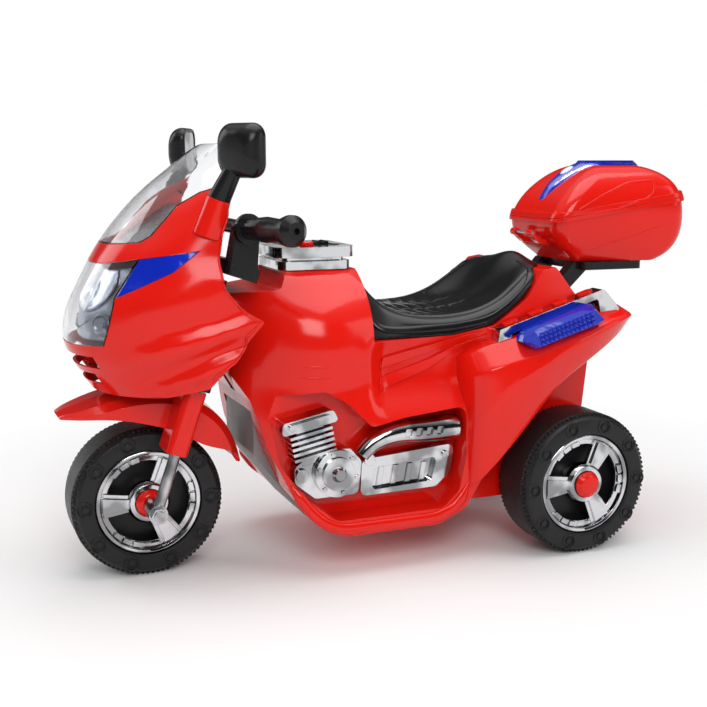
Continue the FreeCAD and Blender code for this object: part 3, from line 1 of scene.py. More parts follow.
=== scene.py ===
"""Looks of a three-wheeled kids electric motorbike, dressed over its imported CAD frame.

Lengths are metres in the frame of the part: +X forward, +Y to the rider's left, +Z up, wheels on Z = 0.
"""

import logging
import math
from dataclasses import dataclass, field
from enum import Enum
from typing import Dict, List, Optional, Sequence, Tuple, Union

import bmesh
import bpy
from bmesh.types import BMesh, BMFace, BMVert
from bpy.types import ID, Material, Mesh, Node, NodeSocket as Socket, NodeTree, Object, World
from mathutils import Matrix, Vector
from mathutils.bvhtree import BVHTree

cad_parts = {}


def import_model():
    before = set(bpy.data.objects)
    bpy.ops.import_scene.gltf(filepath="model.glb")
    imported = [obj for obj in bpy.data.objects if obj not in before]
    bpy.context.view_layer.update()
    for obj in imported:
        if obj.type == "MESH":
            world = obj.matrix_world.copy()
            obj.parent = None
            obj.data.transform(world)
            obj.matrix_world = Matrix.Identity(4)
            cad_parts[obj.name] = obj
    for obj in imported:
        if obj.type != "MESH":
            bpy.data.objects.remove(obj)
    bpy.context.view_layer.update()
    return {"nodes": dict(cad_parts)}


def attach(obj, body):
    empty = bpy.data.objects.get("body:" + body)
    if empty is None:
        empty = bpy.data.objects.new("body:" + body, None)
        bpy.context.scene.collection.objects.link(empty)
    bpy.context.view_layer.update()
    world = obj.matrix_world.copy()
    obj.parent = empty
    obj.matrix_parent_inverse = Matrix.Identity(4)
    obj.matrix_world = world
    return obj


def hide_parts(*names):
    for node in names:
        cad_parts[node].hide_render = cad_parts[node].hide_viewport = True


LOG = logging.getLogger("motorbike")
Color = Tuple[float, float, float]
Point = Tuple[float, float, float]
Pair = Tuple[float, float]
Route = Tuple[Point, ...]
Pairs = Tuple[Pair, ...]
Line = Union[Route, Pairs]
Value = Union[int, float, Sequence[float], Socket, Material]
Nodes = Dict[str, Object]

WHITE = (1.0, 1.0, 1.0, 1.0)
LEVEL: Point = (0.0, 0.0, 0.0)
DOWN = Vector((0.0, 0.0, -1.0))
# Where the rays that find a surface start.
OVERHEAD = 0.6
BESIDE = 0.3
# Edges over this many degrees stay sharp.
CREASED = 34.0
ROUNDED = 60.0
FACETED = 20.0
# How finely lines, ridges and turned pieces are made.
LINE_EASING = 4
BEAD_SIDES = 12
LATHE_STEPS = 40


class Finish(Enum):
    """Every finish on the toy."""

    RED = "red_shell"
    BLACK_GLOSS = "black_gloss"
    BLACK = "black_plastic"
    GREY = "grey_plastic"
    CHROME = "chrome_trim"
    TYRE = "tyre_black"
    STEEL = "steel"
    CLEAR = "clear"
    BLUE = "blue_lens"
    ACCENT = "red_accent"
    MIRROR = "mirror_face"
    LAMP = "lamp_reflector"
    # Plain white for the dome that is the beacon's painted highlight.
    PAINTED_HIGHLIGHT = "beacon_white"


class Body(Enum):
    """The moving bodies of the frame."""

    MAIN = "main_body"
    STEERING = "steering_assembly"
    FRONT_WHEEL = "front_wheel"
    REAR_LEFT = "rear_wheel_left"
    REAR_RIGHT = "rear_wheel_right"
    LID = "top_case_lid"
    MUSIC = "music_push_button"
    HORN = "horn_push_button"
    ROCKER = "direction_switch"
    PEDAL = "drive_pedal"


class Tree:
    """Adds, sets and links the nodes of one node tree."""

    def __init__(self, tree: NodeTree) -> None:
        """Empty the tree that is to be filled."""
        self.tree = tree
        self.tree.nodes.clear()

    def put(self, socket: Socket, value: Value) -> None:
        """Set or link one input.

        Args:
            socket: input to fill.
            value: value to set, or socket to link.
        """
        if isinstance(value, Socket):
            self.tree.links.new(value, socket)
        else:
            socket.default_value = value

    def add(self, kind: str, props: Optional[Dict[str, object]] = None, **inputs: Value) -> Node:
        """Add a node.

        Args:
            kind: node type name.
            props: node properties to set.
            inputs: socket values, or sockets to link, with spaces written as underscores.

        Returns:
            The new node.
        """
        node = self.tree.nodes.new(kind)
        for key, value in (props or {}).items():
            setattr(node, key, value)
        for key, value in inputs.items():
            self.put(node.inputs[key.replace("_", " ")], value)
        return node

    def fill(self, node: Node, values: Sequence[Value]) -> Socket:
        """Set or link a node's first inputs.

        Args:
            node: node to fill.
            values: values or sockets in the order of its inputs.

        Returns:
            The node's first output.
        """
        for socket, value in zip(node.inputs, values):
            self.put(socket, value)
        return node.outputs[0]

    def math(self, operation: str, *values: Value) -> Socket:
        """Return the result of a math node on these values or sockets."""
        return self.fill(self.add("ShaderNodeMath", {"operation": operation}), values)

    def mix(self, factor: Socket, first: Socket, second: Socket) -> Socket:
        """Mix two shaders; the factor is the share of the second."""
        return self.fill(self.add("ShaderNodeMixShader"), (factor, first, second))


class Graph(Tree):
    """The node tree of one material."""

    def __init__(self, name: str) -> None:
        """Start an empty material.

        Args:
            name: name of the material.
        """
        self.material = bpy.data.materials.new(name)
        self.material.use_nodes = True
        super().__init__(self.material.node_tree)

    def where(self) -> Socket:
        """Return the object coordinates, which are the frame of the part."""
        return self.add("ShaderNodeTexCoord").outputs["Object"]

    def noise(self, scale: float, detail: float) -> Socket:
        """Return a noise factor with so many repeats per metre and octaves."""
        return self.add("ShaderNodeTexNoise", Vector=self.where(), Scale=scale, Detail=detail).outputs["Fac"]

    def span(self, value: Socket, low: float, high: float) -> Socket:
        """Map a 0 to 1 socket to the range from low to high."""
        return self.add("ShaderNodeMapRange", Value=value, To_Min=low, To_Max=high).outputs[0]

    def ease(self, value: Socket, low: float, high: float) -> Socket:
        """Rise smoothly from 0 to 1 between two values of a socket."""
        props = {"interpolation_type": "SMOOTHSTEP"}
        return self.add("ShaderNodeMapRange", props, Value=value, From_Min=low, From_Max=high).outputs[0]

    def tint(self, factor: Socket, first: Color, second: Color) -> Socket:
        """Mix two colours.

        Args:
            factor: mix factor socket.
            first: colour at 0.
            second: colour at 1.

        Returns:
            The colour socket.
        """
        node = self.add("ShaderNodeMix", {"data_type": "RGBA"})
        self.put(node.inputs[0], factor)
        self.put(node.inputs[6], (*first, 1.0))
        self.put(node.inputs[7], (*second, 1.0))
        return node.outputs[2]

    def bump(self, height: Socket, strength: float, distance: float, normal: Socket) -> Socket:
        """Press a height into a normal; the distance is the depth in metres."""
        node = self.add("ShaderNodeBump", Height=height, Strength=strength, Distance=distance, Normal=normal)
        return node.outputs["Normal"]

    def soft_edge(self, radius: float) -> Socket:
        """Return a normal that rounds hard edges to a radius."""
        return self.add("ShaderNodeBevel", {"samples": 6}, Radius=radius).outputs["Normal"]

    def surface(self, **inputs: Value) -> Socket:
        """Return a principled shader with these inputs."""
        return self.add("ShaderNodeBsdfPrincipled", **inputs).outputs[0]

    def close(self, shader: Socket) -> Material:
        """Link the last shader and return the finished material."""
        self.add("ShaderNodeOutputMaterial", Surface=shader)
        return self.material


def toned(color: Color, share: float) -> Color:
    """Return a colour made lighter or darker by a share, held at 1."""
    return tuple(min(1.0, c * share) for c in color)


@dataclass(frozen=True)
class Plastic:
    """Moulded plastic with a faint tone drift, grain and softened edges."""

    name: str
    color: Color
    roughness: float
    grain: float = 0.05
    grain_scale: float = 1400.0
    grain_depth: float = 0.0002
    drift: float = 0.08
    drift_scale: float = 9.0
    gloss_scale: float = 60.0
    edge: float = 0.0008
    specular: float = 0.5

    def build(self) -> Material:
        """Return the node material."""
        g = Graph(self.name)
        color = g.tint(g.noise(self.drift_scale, 2.0), toned(self.color, 1 - self.drift),
                       toned(self.color, 1 + self.drift))
        rough = g.span(g.noise(self.gloss_scale, 4.0), self.roughness * 0.8, self.roughness * 1.25)
        normal = g.bump(g.noise(self.grain_scale, 2.0), self.grain, self.grain_depth, g.soft_edge(self.edge))
        return g.close(g.surface(Base_Color=color, Roughness=rough, Normal=normal,
                                 Specular_IOR_Level=self.specular))


@dataclass(frozen=True)
class Chrome:
    """Bright plated plastic: mirror-like, with a slight waviness and darker patches painted into the colour
    as dark reflections.
    """

    name: str
    color: Color = (0.66, 0.67, 0.69)
    roughness: float = 0.09
    wave: float = 0.75
    wave_scale: float = 34.0
    wave_depth: float = 0.0011
    # Tone of the darker patches, which are painted dark reflections.
    painted_reflection_tone: float = 0.42
    painted_reflection_scale: float = 28.0
    painted_reflection_range: Pair = (0.4, 0.58)
    edge: float = 0.0007

    def build(self) -> Material:
        """Return the node material."""
        g = Graph(self.name)
        rough = g.span(g.noise(45.0, 4.0), self.roughness * 0.6, self.roughness * 1.6)
        # Darker noise patches in the plating colour are painted dark reflections.
        painted_reflection = g.ease(g.noise(self.painted_reflection_scale, 2.0), *self.painted_reflection_range)
        color = g.tint(painted_reflection, toned(self.color, self.painted_reflection_tone), self.color)
        normal = g.bump(g.noise(self.wave_scale, 1.0), self.wave, self.wave_depth, g.soft_edge(self.edge))
        return g.close(g.surface(Base_Color=color, Roughness=rough, Metallic=1.0, Normal=normal))


@dataclass(frozen=True)
class Clear:
    """Clear or tinted moulded lens, plain or with a grid of facets."""

    name: str
    color: Color
    transmission: float
    roughness: float
    facet_scale: float = 0.0
    facet_depth: float = 0.0006
    edge: float = 0.0006
    ior: float = 1.46

    def build(self) -> Material:
        """Return the node material."""
        g = Graph(self.name)
        rough = g.span(g.noise(50.0, 3.0), self.roughness * 0.7, self.roughness * 1.4)
        color = g.tint(g.noise(12.0, 2.0), toned(self.color, 0.92), self.color)
        if self.facet_scale:
            props = {"feature": "F1", "distance": "CHEBYCHEV"}
            cells = g.add("ShaderNodeTexVoronoi", props, Vector=g.where(), Scale=self.facet_scale,
                          Randomness=0.15)
            normal = g.bump(cells.outputs["Distance"], 0.8, self.facet_depth, g.soft_edge(self.edge))
        else:
            normal = g.bump(g.noise(20.0, 1.0), 0.05, 0.0004, g.soft_edge(self.edge))
        return g.close(g.surface(Base_Color=color, Roughness=rough, IOR=self.ior, Normal=normal,
                                 Transmission_Weight=self.transmission))


@dataclass(frozen=True)
class Tyre:
    """Black blow-moulded tyre with a fine cross-hatched tread around one axle."""

    name: str
    axle: Point
    color: Color = (0.009, 0.009, 0.01)
    tread_radius: float = 0.0805
    ribs: float = 150.0
    ribs_across: float = 1700.0
    rib_depth: float = 0.0006
    edge: float = 0.0009
    specular: float = 0.28

    def build(self) -> Material:
        """Return the node material."""
        g = Graph(self.name)
        split = g.add("ShaderNodeSeparateXYZ", Vector=g.where())
        x, y, z = (g.math("SUBTRACT", split.outputs[k], self.axle[k]) for k in range(3))
        radius = g.math("SQRT", g.math("ADD", g.math("MULTIPLY", x, x), g.math("MULTIPLY", z, z)))
        along = g.math("MULTIPLY", g.math("ARCTAN2", z, x), self.ribs)
        across = g.math("MULTIPLY", y, self.ribs_across)
        one = g.math("SINE", g.math("ADD", along, across))
        two = g.math("SINE", g.math("SUBTRACT", along, across))
        tread = g.math("GREATER_THAN", radius, self.tread_radius)
        height = g.math("MULTIPLY", g.math("MAXIMUM", one, two), tread)
        base = g.bump(g.noise(1200.0, 2.0), 0.12, 0.0002, g.soft_edge(self.edge))
        normal = g.bump(height, 0.55, self.rib_depth, base)
        rough = g.span(g.noise(70.0, 4.0), 0.28, 0.46)
        color = g.tint(g.noise(14.0, 3.0), self.color, toned(self.color, 1.7))
        return g.close(g.surface(Base_Color=color, Roughness=rough, Normal=normal,
                                 Specular_IOR_Level=self.specular))


@dataclass(frozen=True)
class Floor:
    """Plain pale studio floor that runs out to white away from the toy."""

    name: str = "studio_floor"
    color: Color = (0.9, 0.9, 0.9)
    near: float = 0.4
    far: float = 0.9
    specular: float = 0.15

    def build(self) -> Material:
        """Return the node material."""
        g = Graph(self.name)
        color = g.tint(g.noise(3.0, 2.0), toned(self.color, 0.99), self.color)
        rough = g.span(g.noise(8.0, 2.0), 0.75, 0.85)
        lit = g.surface(Base_Color=color, Roughness=rough, Specular_IOR_Level=self.specular)
        white = g.add("ShaderNodeEmission", Color=WHITE, Strength=1.0)
        away = g.add("ShaderNodeVectorMath", {"operation": "LENGTH"}, Vector=g.where())
        rays = g.add("ShaderNodeLightPath").outputs
        mirrored = g.math("MAXIMUM", rays["Is Glossy Ray"], rays["Is Transmission Ray"])
        seen = g.math("MAXIMUM", rays["Is Camera Ray"], mirrored)
        share = g.math("MULTIPLY", g.ease(away.outputs["Value"], self.near, self.far), seen)
        return g.close(g.mix(share, lit, white.outputs[0]))


class Shop:
    """Holds the materials of all finishes."""

    def __init__(self) -> None:
        """Make each finish once."""
        recipes = {
            Finish.RED: Plastic("red_gloss", (0.7, 0.009, 0.004), 0.15, grain=0.03, specular=0.36),
            Finish.BLACK_GLOSS: Plastic("black_gloss_seat", (0.007, 0.007, 0.008), 0.18, grain=0.1,
                                        grain_scale=700.0, specular=0.34),
            Finish.BLACK: Plastic("black_satin", (0.008, 0.008, 0.009), 0.26, grain=0.1,
                                  grain_scale=900.0, specular=0.28),
            Finish.GREY: Plastic("grey_satin", (0.2, 0.2, 0.2), 0.45, grain=0.1),
            Finish.CHROME: Chrome("bright_chrome"),
            Finish.LAMP: Chrome("lamp_silver", (0.4, 0.43, 0.5), 0.16, wave=0.3),
            Finish.STEEL: Chrome("zinc_steel", (0.55, 0.55, 0.57), 0.26, wave=0.05),
            Finish.CLEAR: Clear("clear_plastic", (0.97, 0.98, 1.0), 1.0, 0.02),
            Finish.BLUE: Clear("blue_plastic", (0.008, 0.034, 0.62), 0.35, 0.07, facet_scale=95.0),
            Finish.ACCENT: Plastic("red_accent", (0.7, 0.01, 0.006), 0.14, grain=0.03, specular=0.35),
            Finish.MIRROR: Chrome("mirror_glass", (0.7, 0.71, 0.73), 0.02, wave=0.0),
            Finish.TYRE: Plastic("tyre_base", (0.01, 0.01, 0.011), 0.4, specular=0.25),
            # Plain white for the dome that is the beacon's painted highlight.
            Finish.PAINTED_HIGHLIGHT: Plastic("beacon_white", (0.8, 0.82, 0.84), 0.12, grain=0.02),
        }
        self.materials: Dict[Finish, Material] = {k: v.build() for k, v in recipes.items()}

    def get(self, finish: Finish) -> Material:
        """Return the material of a finish."""
        return self.materials[finish]


def link(name: str, data: ID) -> Object:
    """Put a new object into the scene.

    Args:
        name: its name.
        data: mesh, camera or light.

    Returns:
        The new object.
    """
    holder = bpy.data.objects.new(name, data)
    bpy.context.scene.collection.objects.link(holder)
    return holder


def finished(work: BMesh, name: str) -> Mesh:
    """Turn a work mesh into a plain one.

    Args:
        work: work mesh, which is used up.
        name: name of the result.

    Returns:
        The new mesh.
    """
    mesh = bpy.data.meshes.new(name)
    work.to_mesh(mesh)
    work.free()
    return mesh


def applied(holder: Object) -> Mesh:
    """Return what an object's modifiers make, and remove the object.

    Args:
        holder: object with its modifiers set.

    Returns:
        The new mesh.
    """
    graph = bpy.context.evaluated_depsgraph_get()
    mesh = bpy.data.meshes.new_from_object(holder.evaluated_get(graph))
    bpy.data.objects.remove(holder)
    return mesh


def welded(source: Object, name: str) -> Mesh:
    """Copy a CAD node's loose triangles as one joined mesh.

    Args:
        source: CAD object.
        name: name of the copy.

    Returns:
        The new mesh.
    """
    mesh = source.data.copy()
    mesh.name = name
    work = bmesh.new()
    work.from_mesh(mesh)
    bmesh.ops.remove_doubles(work, verts=work.verts, dist=2e-6)
    work.to_mesh(mesh)
    work.free()
    for layer in ("custom_normal", "sharp_face"):
        if layer in mesh.attributes:
            mesh.attributes.remove(mesh.attributes[layer])
    return mesh


def show(mesh: Mesh, name: str, body: Body, material: Material,
         sharp: float = CREASED, stands_for: Sequence[str] = ()) -> Object:
    """Put a mesh into the scene as one piece of the toy.

    Args:
        mesh: mesh in the frame of the part.
        name: name of the piece.
        body: body it rides on.
        material: material to show.
        sharp: edges over this many degrees stay sharp.
        stands_for: CAD nodes that it replaces.

    Returns:
        The new object.
    """
    mesh.materials.clear()
    mesh.materials.append(material)
    mesh.polygons.foreach_set("use_smooth", [True] * len(mesh.polygons))
    mesh.polygons.foreach_set("material_index", [0] * len(mesh.polygons))
    mesh.set_sharp_from_angle(angle=math.radians(sharp))
    piece = link(name, mesh)
    if stands_for:
        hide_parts(*stands_for)
    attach(piece, body.value)
    LOG.info("%s on %s, %d faces", name, body.value, len(mesh.polygons))
    return piece


def both_sides(mesh: Mesh) -> Mesh:
    """Add the mirror image across the middle plane to a left-hand mesh.

    Args:
        mesh: mesh on the left side.

    Returns:
        The same mesh with both sides.
    """
    work = bmesh.new()
    work.from_mesh(mesh)
    copy = bmesh.ops.duplicate(work, geom=work.verts[:] + work.edges[:] + work.faces[:])["geom"]
    for vert in (item for item in copy if isinstance(item, BMVert)):
        vert.co.y = -vert.co.y
    bmesh.ops.reverse_faces(work, faces=[item for item in copy if isinstance(item, BMFace)])
    work.to_mesh(mesh)
    work.free()
    return mesh


def lathe(profile: Sequence[Pair], place: Matrix) -> Mesh:
    """Turn a profile of (radius, height) about the local Z axis.

    Args:
        profile: points from the axis outwards and back.
        place: matrix into the frame of the part.

    Returns:
        The new mesh.
    """
    work = bmesh.new()
    verts = [work.verts.new((radius, 0.0, height)) for radius, height in profile]
    edges = [work.edges.new((a, b)) for a, b in zip(verts, verts[1:])]
    bmesh.ops.spin(work, geom=verts + edges, cent=(0, 0, 0), axis=(0, 0, 1), angle=2 * math.pi,
                   steps=LATHE_STEPS)
    bmesh.ops.remove_doubles(work, verts=work.verts, dist=1e-6)
    bmesh.ops.recalc_face_normals(work, faces=work.faces)
    mesh = finished(work, "lathe")
    mesh.transform(place)
    return mesh


class Pattern(Tree):
    """A Geometry Nodes tree with named inputs that repeats one small solid."""

    def __init__(self, name: str) -> None:
        """Start an empty tree.

        Args:
            name: name of the tree.
        """
        super().__init__(bpy.data.node_groups.new(name, "GeometryNodeTree"))
        self.tree.interface.new_socket("Geometry", in_out="OUTPUT", socket_type="NodeSocketGeometry")
        self.source = self.tree.nodes.new("NodeGroupInput")
        self.values: Dict[str, Value] = {}

    def size(self, name: str, value: Union[int, float, Point]) -> Socket:
        """Add a named input.

        Args:
            name: name shown on the modifier.
            value: an int, a float or a triple.

        Returns:
            The socket inside the tree.
        """
        kind = {int: "NodeSocketInt", float: "NodeSocketFloat"}.get(type(value), "NodeSocketVector")
        socket = self.tree.interface.new_socket(name, in_out="INPUT", socket_type=kind)
        self.values[socket.identifier] = value
        return self.source.outputs[name]

    def vector(self, x: Value, y: Value, z: Value) -> Socket:
        """Join three values to a vector."""
        return self.add("ShaderNodeCombineXYZ", X=x, Y=y, Z=z).outputs[0]

    def bake(self, points: Socket, solid: Socket, turn: Value, move: Value, tilt: Value,
             material: Material) -> Mesh:
        """Put the solid on the points, move the whole and return it as a plain mesh.

        Args:
            points: where the solids go.
            solid: what is repeated.
            turn: angles of each solid.
            move: where the whole goes.
            tilt: angles of the whole.
            material: finish.

        Returns:
            The new mesh.
        """
        spin = self.add("FunctionNodeEulerToRotation", Euler=turn).outputs[0]
        placed = self.add("GeometryNodeInstanceOnPoints", Points=points, Instance=solid, Rotation=spin)
        real = self.add("GeometryNodeRealizeInstances", Geometry=placed.outputs[0])
        whole = self.add("GeometryNodeTransform", Geometry=real.outputs[0], Translation=move, Rotation=tilt)
        painted = self.add("GeometryNodeSetMaterial", Geometry=whole.outputs[0], Material=material)
        out = self.tree.nodes.new("NodeGroupOutput")
        self.tree.links.new(painted.outputs[0], out.inputs[0])
        holder = link("pattern", bpy.data.meshes.new("pattern"))
        modifier = holder.modifiers.new("pattern", "NODES")
        modifier.node_group = self.tree
        for identifier, value in self.values.items():
            modifier[identifier] = value
        holder.update_tag()
        return applied(holder)


def ring_pattern(name: str, count: int, radius: float, solid: Point, slant: float, at: Point,
                 material: Material, hoop: bool = False) -> Mesh:
    """Small blocks or hoops in a ring round a wheel axle, which lies along Y.

    Args:
        name: name of the tree.
        count: blocks in the ring.
        radius: ring radius at the blocks' middle.
        solid: a block's size outwards, along the axle and round the ring; or a hoop's radius, 0, wire radius.
        slant: twist of each block about its outward axis.
        at: centre of the ring.
        material: finish.
        hoop: hoops instead of blocks.

    Returns:
        The new mesh.
    """
    p = Pattern(name)
    number = p.size("Count", count)
    reach = p.size("Radius", radius)
    twist = p.size("Slant", slant)
    centre = p.size("Centre", at)
    index = p.add("GeometryNodeInputIndex").outputs[0]
    turn = p.math("DIVIDE", p.math("MULTIPLY", index, 2 * math.pi), number)
    place = p.vector(p.math("MULTIPLY", p.math("COSINE", turn), reach), 0.0,
                     p.math("MULTIPLY", p.math("SINE", turn), reach))
    points = p.add("GeometryNodePoints", Count=number, Position=place).outputs[0]
    if hoop:
        circle = "GeometryNodeCurvePrimitiveCircle"
        line = p.add(circle, Resolution=32, Radius=p.size("Hoop radius", solid[0]))
        wire = p.add(circle, Resolution=8, Radius=p.size("Wire radius", solid[2]))
        item = p.add("GeometryNodeCurveToMesh", Curve=line.outputs[0], Profile_Curve=wire.outputs[0])
    else:
        item = p.add("GeometryNodeMeshCube", Size=p.size("Block", solid))
    angles = p.vector(twist, p.math("MULTIPLY", turn, -1.0), 0.0)
    return p.bake(points, item.outputs[0], angles, centre, LEVEL, material)


def grid_pattern(name: str, columns: int, rows: int, pitch: Pair, solid: Point, pyramid: bool,
                 at: Point, tilt: Point, material: Material) -> Mesh:
    """Small blocks or pyramids in rows on a flat face.

    Args:
        name: name of the tree.
        columns: how many along the local X axis.
        rows: how many along the local Y axis.
        pitch: steps along both.
        solid: size of a block, or the radius, 0 and height of a pyramid.
        pyramid: pyramids instead of blocks.
        at: middle of the grid.
        tilt: angles of the grid.
        material: finish.

    Returns:
        The new mesh.
    """
    p = Pattern(name)
    across = p.size("Columns", columns)
    down = p.size("Rows", rows)
    step_u = p.size("Column pitch", pitch[0])
    step_v = p.size("Row pitch", pitch[1])
    centre = p.size("Centre", at)
    angles = p.size("Tilt", tilt)
    index = p.add("GeometryNodeInputIndex").outputs[0]
    column = p.math("MODULO", index, across)
    row = p.math("FLOOR", p.math("DIVIDE", index, across))
    half_u = p.math("DIVIDE", p.math("SUBTRACT", across, 1.0), 2.0)
    half_v = p.math("DIVIDE", p.math("SUBTRACT", down, 1.0), 2.0)
    place = p.vector(p.math("MULTIPLY", p.math("SUBTRACT", column, half_u), step_u),
                     p.math("MULTIPLY", p.math("SUBTRACT", row, half_v), step_v), 0.0)
    points = p.add("GeometryNodePoints", Count=p.math("MULTIPLY", across, down), Position=place).outputs[0]
    if pyramid:
        radius = p.size("Foot radius", solid[0])
        height = p.size("Height", solid[2])
        item = p.add("GeometryNodeMeshCone", Vertices=4, Radius_Top=0.0, Radius_Bottom=radius, Depth=height)
        turn = (0.0, 0.0, math.pi / 4)
    else:
        item = p.add("GeometryNodeMeshCube", Size=p.size("Block", solid))
        turn = LEVEL
    return p.bake(points, item.outputs[0], turn, centre, angles, material)


def clamp(value: float) -> float:
    """Hold a value between 0 and 1."""
    return min(1.0, max(0.0, value))


def interpolate(table: Sequence[Pair], at: float) -> float:
    """Read a falling table of (place, value) at one place.

    Args:
        table: rows with falling places.
        at: place.

    Returns:
        The value, held at both ends.
    """
    if at >= table[0][0]:
        return table[0][1]
    for (first, low), (second, high) in zip(table, table[1:]):
        if at >= second:
            share = (first - at) / (first - second)
            return low + (high - low) * share
    return table[-1][1]


def fine_line(points: Sequence[Point], step: float) -> List[Point]:
    """Split a broken line into short even steps with rounded corners.

    Args:
        points: corners.
        step: step length.

    Returns:
        The points.
    """
    line = [Vector(points[0])]
    for first, second in zip(points, points[1:]):
        a, b = Vector(first), Vector(second)
        count = max(1, round((b - a).length / step))
        line.extend(a.lerp(b, k / count) for k in range(1, count + 1))
    for _ in range(LINE_EASING):
        inner = [(a + b * 2 + c) / 4 for a, b, c in zip(line, line[1:], line[2:])]
        line = [line[0]] + inner + [line[-1]]
    return [tuple(p) for p in line]


def joined(parts: Sequence[Mesh], name: str) -> Mesh:
    """Join meshes into one.

    Args:
        parts: meshes in one frame, which are used up.
        name: name of the result.

    Returns:
        The new mesh.
    """
    work = bmesh.new()
    for part in parts:
        work.from_mesh(part)
        bpy.data.meshes.remove(part)
    return finished(work, name)


def bead(route: Line, surface: BVHTree, size: Pair, step: float = 0.003,
         closed: bool = False, from_left: bool = False) -> Mesh:
    """Raise a rounded ridge along a line on a surface.

    Args:
        route: corners of the line near the surface, or (x, z) pairs for one taken from the left.
        surface: surface to lie on.
        size: half the width of the ridge, and its height.
        step: distance between sections.
        closed: the line ends where it starts.
        from_left: take the surface as seen from the left instead of the nearest one.

    Returns:
        The new mesh.
    """
    half_width, height = size
    corners = [(x, 0.0, z) for x, z in route] if from_left else list(route)
    if closed:
        corners.append(corners[0])
    line = []
    for x, y, z in fine_line(corners, step):
        if from_left:
            hit, normal = surface.ray_cast(Vector((x, BESIDE, z)), Vector((0.0, -1.0, 0.0)))[:2]
        else:
            hit, normal = surface.find_nearest(Vector((x, y, z)))[:2]
        if hit is not None:
            line.append((hit, normal))
    work = bmesh.new()
    rings = []
    last = len(line) - 1
    for index, (place, normal) in enumerate(line):
        ahead = line[min(index + 1, last)][0] - line[max(index - 1, 0)][0]
        side = ahead.cross(normal).normalized()
        share = 1.0 if closed else min(1.0, 0.2 + min(index, last - index) / 5.0)
        ring = []
        for turn in (2 * math.pi * k / BEAD_SIDES for k in range(BEAD_SIDES)):
            flat = math.copysign(abs(math.cos(turn)) ** 0.7, math.cos(turn))
            out = side * half_width * flat + normal * height * math.sin(turn)
            ring.append(work.verts.new(place + out * share))
        rings.append(ring)
    for first, second in zip(rings, rings[1:]):
        for k in range(BEAD_SIDES):
            after = (k + 1) % BEAD_SIDES
            work.faces.new((first[k], first[after], second[after], second[k]))
    work.faces.new(rings[0])
    work.faces.new(rings[-1])
    bmesh.ops.recalc_face_normals(work, faces=work.faces)
    return finished(work, "bead")


def standing(hit: Vector, normal: Vector) -> Matrix:
    """Return the place of something that stands on a surface."""
    return Matrix.Translation(hit) @ normal.to_track_quat("Z", "Y").to_matrix().to_4x4()


def extent(piece: Object) -> Tuple[Vector, Vector]:
    """Return the lowest and highest corner of a piece."""
    rows = [v.co for v in piece.data.vertices]
    return tuple(Vector(pick(r[k] for r in rows) for k in range(3)) for pick in (min, max))


@dataclass
class SubAssembly:
    """Nodes that belong together, each with its finish."""

    shop: Shop
    cad: Nodes
    body: Body
    nodes: Dict[str, Finish] = field(default_factory=dict)
    skins: Nodes = field(default_factory=dict)

    def build(self) -> None:
        """Show every node as a smooth copy of its solid."""
        for node, finish in self.nodes.items():
            name = node + "_skin"
            mesh = welded(self.cad[node], name)
            self.skins[node] = show(mesh, name, self.body, self.shop.get(finish), stands_for=[node])

    def dress(self) -> None:
        """Add what the solids leave out."""

    def add(self, mesh: Mesh, name: str, finish: Finish, sharp: float = CREASED) -> Object:
        """Show one more piece on the same body; edges over so many degrees stay sharp."""
        return show(mesh, name, self.body, self.shop.get(finish), sharp)

    def ridge(self, node: str, name: str, finish: Finish, route: Line, size: Pair,
              **options: Union[float, bool]) -> None:
        """Raise a ridge on both sides of a node, with the options of bead()."""
        self.add(both_sides(bead(route, self.surface(node), size, **options)), name, finish, ROUNDED)

    def surface(self, node: str) -> BVHTree:
        """Return a node's surface for finding points on it."""
        mesh = self.skins[node].data
        corners = [v.co.copy() for v in mesh.vertices]
        return BVHTree.FromPolygons(corners, [tuple(p.vertices) for p in mesh.polygons])


